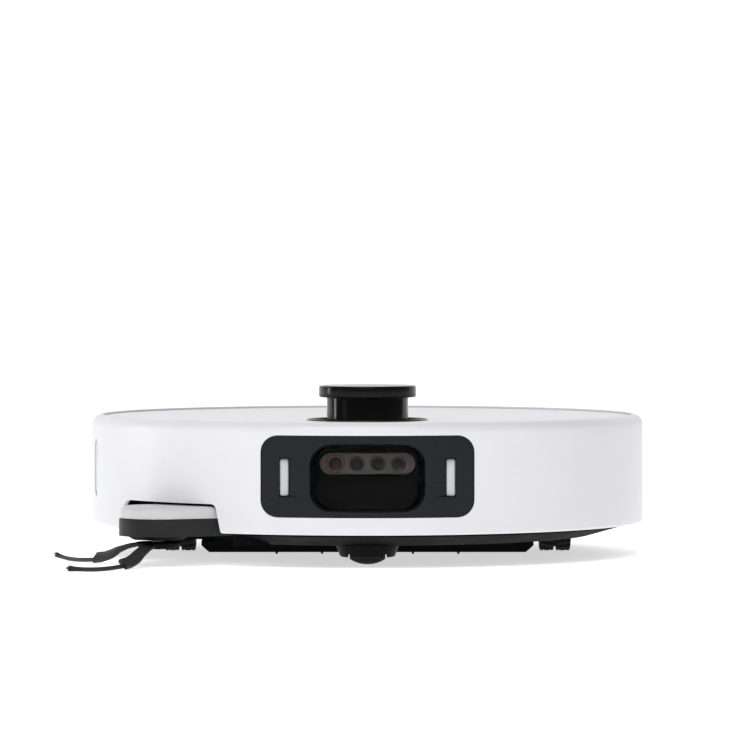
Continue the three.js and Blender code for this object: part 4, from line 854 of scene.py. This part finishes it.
def turret_dish():
    z0, z1 = heights_of("turret_well")
    z1 += 0.7 * MM  # the lip stands a little proud
    inner, dish = radius_of("lidar_cap") + 0.9 * MM, radius_of("turret_well")
    outer, seat, lip = inner + 2.4 * MM, DECK_TOP + 0.4 * MM, 0.7 * MM
    loop = [(inner, z0), (outer, z0), (outer, seat), (dish, seat)]
    loop += arc(dish - lip, z1 - lip, lip, 0, 150, 6)
    loop += [(dish - 2.0 * MM, z1 - 1.5 * MM), (dish - 3.4 * MM, z1 - 3.0 * MM),
             (inner + 1.2 * MM, DECK_TOP + 0.35 * MM), (inner + 0.3 * MM, DECK_TOP - 0.2 * MM),
             (inner, DECK_TOP - 0.8 * MM)]
    ring = lathe("turret_dish", loop, centre_of("turret_well")[:2], 128)
    placed(smooth(ring, 35), "chassis", "bronze_dish", None, "turret_well")


# --- side brush arm
ARM_R, ARM_TIP_R = 18.2 * MM, 24 * MM
BOSS_H = 2.4 * MM
SHAFT_BORE, TIP_BORE, NECK_BORE = 2.9 * MM, 4.4 * MM, 6.8 * MM


def arm_outline(base):
    return lambda margin: capsule(PIVOT, ARM_R + base + margin, TIP, ARM_TIP_R + base + margin, 28)


def arm_lower():
    bottom, top = heights_of("arm_housing")
    low = bottom + BOSS_H
    tub = soft_prism("arm_lower", arm_outline(0), low, top, 2.2 * MM, 0.5 * MM, 6)
    inside = soft_prism("cut", arm_outline(-2 * MM), low + 2 * MM, top + PAST, 0.0, 0.0, 1)
    holes = [drill(r, -PAST, 0.1, at, 40) for at, r in ((PIVOT, SHAFT_BORE), (TIP, TIP_BORE))]
    boolean(tub, [inside] + holes)
    placed(edged(tub, 0.3 * MM, 2, 40), "side_brush_arm", "dark_plastic", "arm_dark", "arm_housing")
    bore, seat = TIP_BORE + 0.1 * MM, low + 0.3 * MM
    corners = [(bore, bottom), (15.4 * MM, bottom), (20 * MM, seat), (bore, seat)]
    loop = filleted(corners, [0.2 * MM, 1.2 * MM, 0.2 * MM, 0.1 * MM], 5)
    boss = lathe("arm_boss", loop, TIP, 64)
    placed(smooth(boss, 35), "side_brush_arm", "dark_plastic")


def arm_upper():
    low, top = heights_of("arm_cover")
    shell = soft_prism("arm_upper", arm_outline(-1 * MM), low, top, 0.3 * MM, 2.8 * MM, 8)
    hollow = soft_prism("cut", arm_outline(-5.4 * MM), low - PAST, top - 2 * MM, 0.0, 1.0 * MM, 3)
    neck = drill(NECK_BORE, -PAST, 0.1, PIVOT, 48)
    boolean(shell, [hollow, neck])
    placed(edged(shell, 0.3 * MM, 2, 40), "side_brush_arm", "white_shell", "arm_white", "arm_cover")


# --- side brush
LEG_START, LEG_END, TUFT_END = 14.6 * MM, 46 * MM, 91 * MM
LEG_TOP = 12.6  # the straps' height above the floor at the hub, mm
LEG_FALL = [0, 0.1, 0.35, 0.7, 0.92, 1]
LEG_TILT = math.radians(42)
LEG_STEPS = 22
# Each leg's start and end angle, the heights of its strap's foot and of its tuft's tip above the
# floor in mm, and how much shorter its strap is than the other's.
LEGS = {"side": (154, 137, 3.4, 3.2, 0), "front": (250, 234, 3.3, 2.8, 3 * MM)}
STRANDS, STRAND_STEPS = 130, 12
TUFT_ROOT, TUFT_LOW = 2.5, 1.35  # the bristles' height above the floor at their root and lowest, mm


def leg_point(name, r, z, aside=0.0):
    start, end = LEGS[name][:2]
    share = (r - LEG_START) / (TUFT_END - LEG_START)
    angle = start + (end - start) * share
    x, y = plan(r, angle, TIP)
    ax, ay = plan(aside, angle + 90)
    return Vector((x + ax, y + ay, z))


def strap_height(name, share):
    """The height of a strap's middle at a share of its length."""
    foot = LEGS[name][2]
    k = share * (len(LEG_FALL) - 1)
    i = min(int(k), len(LEG_FALL) - 2)
    fall = LEG_FALL[i] + (LEG_FALL[i + 1] - LEG_FALL[i]) * (k - i)
    return FLOOR_Z + (LEG_TOP + (foot - LEG_TOP) * fall) * MM


def brush_hub():
    r, (z0, z1) = radius_of("side_brush_hub"), heights_of("side_brush_hub")
    recess, edge = z0 + 0.9 * MM, 0.8 * MM
    loop = [(0, recess), (3.6 * MM, recess), (3.9 * MM, z0 + 0.1 * MM), (4.3 * MM, z0), (r - 3.4 * MM, z0),
            (r - 0.9 * MM, z0 + 1.5 * MM)]
    loop += arc(r - edge, z1 - edge, edge, -10, 90, 5) + [(0, z1)]
    hub_disc = lathe("brush_hub", loop, TIP, 72)
    placed(smooth(hub_disc, 30), "side_brush", "dark_plastic", None, "side_brush_hub")
    screw("brush_hub_screw", (*TIP, recess), 3.2 * MM, "side_brush")


def strap_path(name):
    """A strap's middle line, its (side, up) frames, and its width and thickness along the way."""
    short = LEGS[name][4]
    centres, frames, taper = [], [], []
    for i in range(LEG_STEPS + 1):
        share = i / LEG_STEPS
        r = LEG_START - 1.2 * MM * (1 - share) + (LEG_END + 1.5 * MM - short - LEG_START) * share
        centres.append(leg_point(name, r, strap_height(name, share)))
    for i in range(LEG_STEPS + 1):
        ahead = (centres[min(i + 1, LEG_STEPS)] - centres[max(i - 1, 0)]).normalized()
        side = ahead.cross(Vector((0, 0, 1))).normalized()
        up = side.cross(ahead).normalized()
        share = i / LEG_STEPS
        tilt = LEG_TILT * min(1.0, share / 0.45)
        c, s = math.cos(tilt), math.sin(tilt)
        frames.append((side * c + up * s, up * c - side * s))
        paddle = max(0.0, min(1.0, (share - 0.4) / 0.14))
        wide = 0.66 + 0.34 * paddle if name == "side" else 0.86 + 0.1 * paddle
        taper.append((wide, 0.9 + 0.2 * paddle))
    return centres, frames, taper


def brush_strap(name):
    """A rubber strap with a rib along its top and ridges across its foot."""
    centres, frames, taper = strap_path(name)
    strap = swept("brush_leg_" + name, centres, frames, rounded_rect(8 * MM, 2.6 * MM, 1.0 * MM, 4), taper)
    placed(smooth(strap, 50), "side_brush", "black_rubber", "leg_rubber", "side_brush_leg_" + name)
    tops = [c + up * (1.0 * MM) for c, (_, up) in zip(centres, frames)]
    rib = swept("brush_leg_rib_" + name, tops[1:-1], frames[1:-1],
                rounded_rect(2.2 * MM, 1.2 * MM, 0.5 * MM, 3), taper[1:-1])
    placed(smooth(rib, 50), "side_brush", "black_rubber", "leg_rubber")
    ridges = []
    for i in range(9, LEG_STEPS):
        across = frames[i][0] * (3.3 * taper[i][0] * MM)
        bm = bmesh.new()
        strand(bm, [tops[i] - across, tops[i] + across], 0.42 * MM, 1.0, 6)
        ridges.append(from_bmesh("ridge", bm))
    ridges = merged("brush_leg_ridges_" + name, ridges)
    placed(smooth(ridges, 50), "side_brush", "black_rubber", "leg_rubber")


def brush_tuft(name, rng):
    """Bristles that sink to the floor, then rise and flare to a blunt tip."""
    tip, short = LEGS[name][3:]
    root = LEG_END - 4 * MM
    bm = bmesh.new()
    for _ in range(STRANDS):
        around, out = rng.uniform(0, TAU), math.sqrt(rng.uniform(0, 1))
        spread, lift = out * math.cos(around), out * math.sin(around)
        reach = rng.uniform(0.95, 1.0)
        points = []
        for i in range(STRAND_STEPS):
            t = i / (STRAND_STEPS - 1)
            r = root - short + (TUFT_END - root) * t * reach
            flare = 1 + 0.45 * max(0.0, (t - 0.8) / 0.2) ** 2
            low = TUFT_ROOT + (TUFT_LOW - TUFT_ROOT) * math.sin(min(1.0, t * 1.9) * math.pi / 2)
            rise = (tip - TUFT_LOW) * max(0.0, (t - 0.5) / 0.5) ** 2
            z = FLOOR_Z + (low + rise + lift * 1.2 * flare) * MM
            points.append(leg_point(name, r, max(z, FLOOR_Z + 0.2 * MM), spread * 1.5 * MM * flare))
        strand(bm, points, 0.18 * MM, 0.8, 3)
    tuft = from_bmesh("brush_tuft_" + name, bm)
    placed(smooth(tuft, 80), "side_brush", "bristle", None, "side_brush_tuft_" + name)


def side_brush():
    brush_hub()
    rng = random.Random(7)
    for name in LEGS:
        brush_strap(name)
        brush_tuft(name, rng)


# --- screws
# The head's section and the square taper of its recess, in head radii.
HEAD = [(0, -0.2), (0.86, -0.2), (1, 0.0), (1, 0.12), (0.93, 0.3), (0.75, 0.45), (0.4, 0.52), (0, 0.54)]
RECESS = ((0.08, 0.45), (0.6, 1.0))
SCREWS_AT = [(-70, 14), (70, -100), (-42, -92), (-2, -86), (84, -96), (0, 118), (0, 136), (0, 30.5)]
heads = {}


def screw_head(r):
    """The mesh of a pan head with a cross recess, facing down."""
    head = lathe("head", [(a * r, b * r) for a, b in HEAD], (0, 0), 32)
    cutters = []
    for w, d in ((0.62, 0.16), (0.16, 0.62)):
        corners = ((-1, -1), (1, -1), (1, 1), (-1, 1))
        cutters.append(stacked("cut", [[(x * w * r * k, y * d * r * k, z * r) for x, y in corners]
                                          for z, k in RECESS]))
    boolean(head, cutters)
    head.data.transform(Matrix.Rotation(math.pi, 4, "X"))
    smooth(head, 30)
    head.data.materials.append(MATERIALS["plated_steel"])
    mesh = head.data
    bpy.data.objects.remove(head)
    return mesh


def screw(name, at, r, body):
    if r not in heads:
        heads[r] = screw_head(r)
    obj = linked(name, heads[r].copy())
    # Each screw stops at a turn of its own.
    obj.data.transform(Matrix.Translation(at) @ Matrix.Rotation(len(name) * 0.7 + at[0] * 90, 4, "Z"))
    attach(obj, body)


def underside_screws():
    section = [(2.9 * MM, -1.5 * MM), (4.4 * MM, -1.5 * MM), (5.2 * MM, 0.1 * MM), (2.9 * MM, 0.1 * MM)]
    loop = filleted(section, 0.25 * MM, 3)
    bosses = []
    for i, (x, y) in enumerate(SCREWS_AT):
        at = (x * MM, y * MM)
        bosses.append(lathe("boss", loop, at, 32))
        screw("underside_screw_%d" % i, (*at, -0.1 * MM), 2.6 * MM, "chassis")
    placed(smooth(merged("screw_bosses", bosses), 40), "chassis", "dark_plastic")


# --- wheels
TREAD_IN = 0.2 * MM  # the tread is this much narrower than its tyre, each side
TYRE_T = 7 * MM
TYRE_AROUND, TYRE_ACROSS, LUGS = 360, 40, 26
GROOVE_DEEP, LUG_DEEP, SHOULDER_DROP = 2.6 * MM, 1.5 * MM, 1.3 * MM
HUB_W, SPOKES, HUB_SHAFT_R = 18.0, 5, 4.3 * MM


def ramp(v, soft):
    return max(0.0, min(1.0, v / soft))


def tread_drop(u, around):
    """How far the tread lies under its outer radius, at u from -1 to 1 across and a share around."""
    groove = ramp(abs(u) - 0.06, 0.05)
    shoulder = math.sqrt(max(0.0, 1 - max(0.0, (abs(u) - 0.88) / 0.12) ** 2))
    phase = (around * LUGS + 0.42 * abs(u) + (0.5 if u < 0 else 0)) % 1
    lug = ramp(phase, 0.08) * ramp(0.66 - phase, 0.08)
    across = abs(abs(u) - 0.5) / 0.5
    sipe = 1 - 0.35 * (1 - ramp(abs(across - 0.45) - 0.04, 0.03))
    return (GROOVE_DEEP * (1 - groove) + LUG_DEEP * (1 - lug * sipe) * groove
            + SHOULDER_DROP * (1 - shoulder))


def tyre(side):
    name = side + "_tyre"
    lo, hi = BOX[name]
    x0, x1 = lo[0] + TREAD_IN, hi[0] - TREAD_IN
    xc, cy, cz = centre_of(name)
    radius = cz - lo[2]
    inner = radius - TYRE_T
    across = [-1 + 2 * j / TYRE_ACROSS for j in range(TYRE_ACROSS + 1)]
    bm = bmesh.new()
    rows = []
    for i in range(TYRE_AROUND):
        c, s = math.cos(TAU * i / TYRE_AROUND), math.sin(TAU * i / TYRE_AROUND)
        section = [(xc + u * (x1 - x0) / 2, radius - tread_drop(u, i / TYRE_AROUND)) for u in across]
        section += [(x1, inner), (x0, inner)]
        rows.append([bm.verts.new((x, cy + r * c, cz + r * s)) for x, r in section])
    bridged(bm, rows + rows[:1])
    tread = from_bmesh(side + "_tread", bm)
    placed(smooth(tread, 35), side + "_wheel", "tyre_rubber", None, name)


def hub(side):
    name = side + "_wheel_hub"
    lo, hi = BOX[name]
    centre = centre_of(name)[1:]
    tyre_lo, tyre_hi = BOX[side + "_tyre"]
    r = ((tyre_hi[2] - tyre_lo[2]) / 2 - TYRE_T) / MM - 0.5
    sign = 1 if side == "left" else -1
    outer = hi[0] if sign == 1 else lo[0]

    def at(d):
        """The X that lies d mm in from the hub's outer face."""
        return outer - sign * d * MM

    points = [(0, 1.2), (6, 1.2), (7.5, 1.8), (8.2, 5.4), (r - 5.6, 5.0), (r - 4.4, 3.4), (r - 3.8, 0.4),
              (r - 0.6, 0.0), (r, 0.7), (r, HUB_W - 0.7), (r - 0.6, HUB_W), (0, HUB_W)]
    body = lathe(side + "_hub_disc", [(a * MM, at(b)) for a, b in points], centre, 72, "X")
    cutters = [drill(HUB_SHAFT_R, at(HUB_W - 2), at(HUB_W + 2), centre, 24, "X")]
    corners = ((9.8, -3.4), (r - 6.6, -6.2), (r - 6.6, 6.2), (9.8, 3.4))
    for i in range(SPOKES):
        a = TAU * i / SPOKES + 0.3
        c, s = math.cos(a), math.sin(a)
        window = [(centre[0] + (u * c - v * s) * MM, centre[1] + (u * s + v * c) * MM) for u, v in corners]
        cutters.append(stacked("cut", [[(at(d), y, z) for y, z in window] for d in (-2.0, 8.2)]))
    boolean(body, cutters)
    placed(edged(body, 0.4 * MM, 2, 30), side + "_wheel", "grey_plastic", None, name)


CASTER_SLOT_HALF, CASTER_SLOT_W, CASTER_SLOT_TOP = 11.8 * MM, 28.4 * MM, 14.5 * MM
CASTER_AXLE_R, CASTER_AXLE_HALF = 1.8 * MM, 14.2 * MM
ROLLER_R, ROLLER_CROWN, ROLLER_HALF, ROLLER_STEPS = 13 * MM, 20 * MM, 10.6, 12


def caster_dome():
    cx, cy = centre_of("caster_swivel")[:2]
    cz = centre_of("caster_wheel")[2]
    z0, z1 = heights_of("caster_swivel")
    r, lip, stem = radius_of("caster_swivel"), 1.6 * MM, 4 * MM
    loop = [(0, z0)] + arc(15.6 * MM, z0 + lip, lip, -90, -25, 5)
    loop += [(r - 1.2 * MM, -2.2 * MM), (r - 0.2 * MM, -0.4 * MM), (r, 0.6 * MM), (r, 11.4 * MM),
             (r - 5 * MM, 17.4 * MM), (stem, 17.5 * MM), (stem, z1 - 0.5 * MM), (stem - 0.5 * MM, z1),
             (0, z1)]
    dome = lathe("caster_dome", loop, (cx, cy), 80)
    outline = [(cx + a, cy + b) for a, b in rounded_rect(2 * CASTER_SLOT_HALF, CASTER_SLOT_W, 2.2 * MM, 6)]
    slot = upright(outline, -20 * MM, CASTER_SLOT_TOP)
    axle = drill(CASTER_AXLE_R, -CASTER_AXLE_HALF, CASTER_AXLE_HALF, (cy, cz), 20, "X")
    boolean(dome, [slot, axle])
    placed(edged(dome, 0.4 * MM, 2, 35), "caster_swivel", "dark_plastic", "housing_black", "caster_swivel")


def caster_roller():
    """A crowned roller with a recessed face and an axle stub at each end."""
    end = [(1.3, 13.8), (1.3, 11), (7.5, 11), (8.2, 10.4), (9.4, 10.9)]
    loop = [(r * MM, -x * MM) for r, x in end]
    for i in range(ROLLER_STEPS + 1):
        x = (-ROLLER_HALF + 2 * ROLLER_HALF * i / ROLLER_STEPS) * MM
        mould_line = 0.05 * MM if abs(i - ROLLER_STEPS // 2) == 1 else 0
        loop.append((ROLLER_R - ROLLER_CROWN + math.sqrt(ROLLER_CROWN ** 2 - x ** 2) - mould_line, x))
    loop += [(r * MM, x * MM) for r, x in reversed(end)]
    loop += [(0, 13.8 * MM), (0, -13.8 * MM)]
    roller = lathe("caster_roller", loop, centre_of("caster_wheel")[1:], 72, "X")
    placed(smooth(roller, 35), "caster_wheel", "black_rubber", None, "caster_wheel")


# --- main brush
SEGMENTS, SEGMENT_PITCH, SEGMENT_HALF = 6, 28.4 * MM, 12.9 * MM
FINS, FIN_STEPS, FIN_H = 6, 14, 7 * MM
FIN_LEAN, FIN_TWIST, FIN_BEND = math.radians(30), math.radians(9), math.radians(6)


def brush_core(half, core_r):
    r_end, shaft, step = 4.6 * MM, half - 5 * MM, 0.4 * MM
    end = [(0, -half), (r_end, -half), (r_end + step, -half + step), (r_end + step, -shaft),
           (core_r - 0.6 * MM, -shaft), (core_r, -shaft + 0.6 * MM)]
    return lathe("core", end + [(a, -b) for a, b in reversed(end)], centre_of("main_brush")[1:], 64, "X")


def brush_fin(segment, fin, core_r, r):
    """A rubber fin whose middle runs ahead of its ends, bent over a little towards its edge."""
    cy, cz = centre_of("main_brush")[1:]
    rings = []
    for i in range(FIN_STEPS + 1):
        u = -1 + 2 * i / FIN_STEPS
        x = (segment - (SEGMENTS - 1) / 2) * SEGMENT_PITCH + u * SEGMENT_HALF
        turn = TAU * fin / FINS + FIN_TWIST * (1 - abs(u)) + FIN_LEAN
        top = r - 0.6 * MM * max(0.0, abs(u) - 0.86) / 0.14
        flank = [(core_r - 2 * MM, 1.5), (core_r + 1.5 * MM, 1.1), (top - 2 * MM, 0.8), (top, 0.55)]
        ring = []
        for rr, half_t in [(rr, -t) for rr, t in flank] + flank[::-1]:
            bend = FIN_BEND * ((rr - core_r) / (r - core_r)) ** 2 if rr > core_r else 0
            a = turn + bend + half_t * MM / rr
            ring.append((x, cy + rr * math.cos(a), cz + rr * math.sin(a)))
        rings.append(ring)
    return stacked("fin", rings)


def main_brush():
    lo, hi = BOX["main_brush"]
    r = (hi[1] - lo[1]) / 2
    core_r = r - FIN_H
    parts = [brush_core(hi[0], core_r)]
    parts += [brush_fin(s, k, core_r, r) for s in range(SEGMENTS) for k in range(FINS)]
    placed(smooth(merged("roller_brush", parts), 40), "main_brush", "black_rubber", None, "main_brush")


# --- mops
MOP_AROUND, MOP_RINGS = 180, 46
SEAM_DEEP, PILE = 0.9 * MM, 0.5 * MM


def mop_seam(a, share):
    """How deep in a sewn channel a point lies, at an angle and a share of the radius."""
    wedge = abs(math.sin(4 * a + 0.3 * math.sin(share * 3)))
    inner_ring = max(0.0, 1 - abs(share - 0.36) / 0.02)
    outer_ring = max(0.0, 1 - abs(share - 0.9) / 0.018)
    return min(1.0, max(0.0, 1 - wedge / 0.07) + inner_ring + outer_ring)


def mop_cloth(side):
    """A looped pad with a soft edge. Its profile is (share of the radius, height, pile)."""
    name = side + "_mop_pad"
    cx, cy = centre_of(name)[:2]
    r, (z0, z1) = radius_of(name), heights_of(name)
    rng = random.Random(11 if side == "left" else 12)
    profile = [(0.04 + 0.90 * j / (MOP_RINGS - 1), z0 + 0.15 * MM, 1.0) for j in range(MOP_RINGS)]
    profile += [(0.975, z0 + 0.45 * MM, 0.8), (0.995, z0 + 1.3 * MM, 0.7), (1, z0 + 2.4 * MM, 0.6),
                (0.995, z0 + 3.6 * MM, 0.5), (0.975, z1 - 1.0 * MM, 0.3), (0.945, z1 - 0.4 * MM, 0.2),
                (0.9, z1 - 0.2 * MM, 0.0), (0.5, z1 - 0.2 * MM, 0.0), (0.05, z1 - 0.2 * MM, 0.0)]
    bm = bmesh.new()
    rows = []
    for share, z, rough in profile:
        row = []
        for i in range(MOP_AROUND):
            a = TAU * i / MOP_AROUND
            sink = SEAM_DEEP * mop_seam(a, share) * rough if share < 0.95 else 0
            pile = rng.uniform(0, 1) * PILE * rough
            ragged = rng.uniform(-0.004, 0.0)
            reach = r * share * (1 + (ragged if 0 < rough < 0.9 else 0))
            x, y = cx + reach * math.cos(a), cy + reach * math.sin(a)
            row.append(bm.verts.new((x, y, z + pile + sink)))
        rows.append(row)
    bridged(bm, rows)
    capped(bm, rows)
    pad = from_bmesh(side + "_mop_cloth", bm)
    placed(smooth(pad, 180), side + "_mop", "mop_cloth", None, name)


def mop_binding(side):
    """The bound edge between the cloth and its plate."""
    name = side + "_mop_pad"
    r, top = radius_of(name), BOX[name][1][2]
    turns = [TAU * k / 12 for k in range(12)]
    loop = [(r * 0.93 + 1.0 * MM * math.cos(a), top + 0.28 * MM * math.sin(a)) for a in turns]
    binding = lathe(side + "_mop_binding", loop, centre_of(name)[:2], 120)
    placed(smooth(binding, 60), side + "_mop", "grey_plastic")


# --- CAD nodes that stay
# How much the hard edges of each node are rounded, in mm; the others take OTHER_EDGE.
KEPT_EDGE = {
    0.12: ("arm_drive_gear", "arm_idler_gear", "brush_drive_gear"),
    0.2: ("fan_impeller",),
    0.4: ("battery_hatch", "caster_socket", "lidar_rotor", "cliff_sensor_front_left",
          "cliff_sensor_front_right"),
    0.5: ("chassis", "deck", "dust_bin", "charging_contact_left", "charging_contact_right", "lidar_carriage"),
    0.6: ("suction_duct", "fan_housing", "side_brush_motor", "mop_lift_yoke", "left_mop_plate",
          "right_mop_plate"),
    0.7: ("brush_guard",),
    0.8: ("main_brush_motor",),
    1.0: ("left_wheel_gearbox", "right_wheel_gearbox"),
    1.2: ("battery_pack", "bin_lid"),
    1.5: ("water_tank",),
}
OTHER_EDGE = 0.3
# The nodes whose look differs from their slot in the record.
KEPT_LOOK = {
    "bin_filter": "filter_pleats", "camera_housing": "housing_black",
    "cliff_sensor_front_left": "black_gloss", "cliff_sensor_front_right": "black_gloss",
}
KEPT_ANGLE = 26


def kept_nodes():
    slots = {part["node"]: part["material_slot"] for part in frame["record"]["subparts"]}
    edges = {name: width for width, names in KEPT_EDGE.items() for name in names}
    for name, obj in NODES.items():
        if obj.hide_render:
            continue
        look = MATERIALS[KEPT_LOOK.get(name, slots[name])]
        for slot in obj.material_slots:
            slot.material = look
        edged(obj, edges.get(name, OTHER_EDGE) * MM, 2, KEPT_ANGLE)


# --- build
camera()
studio()
floor()
bumper()
rear_shell()
vent_screen()
top_cover()
buttons()
sensor_panel()
led_bars()
wall_sensor()
camera_glass()
camera_gasket()
lens_strip()
turret_cap()
turret_neck()
turret_dish()
arm_lower()
arm_upper()
side_brush()
underside_screws()
for which in ("left", "right"):
    tyre(which)
    hub(which)
    mop_cloth(which)
    mop_binding(which)
caster_dome()
caster_roller()
main_brush()
kept_nodes()
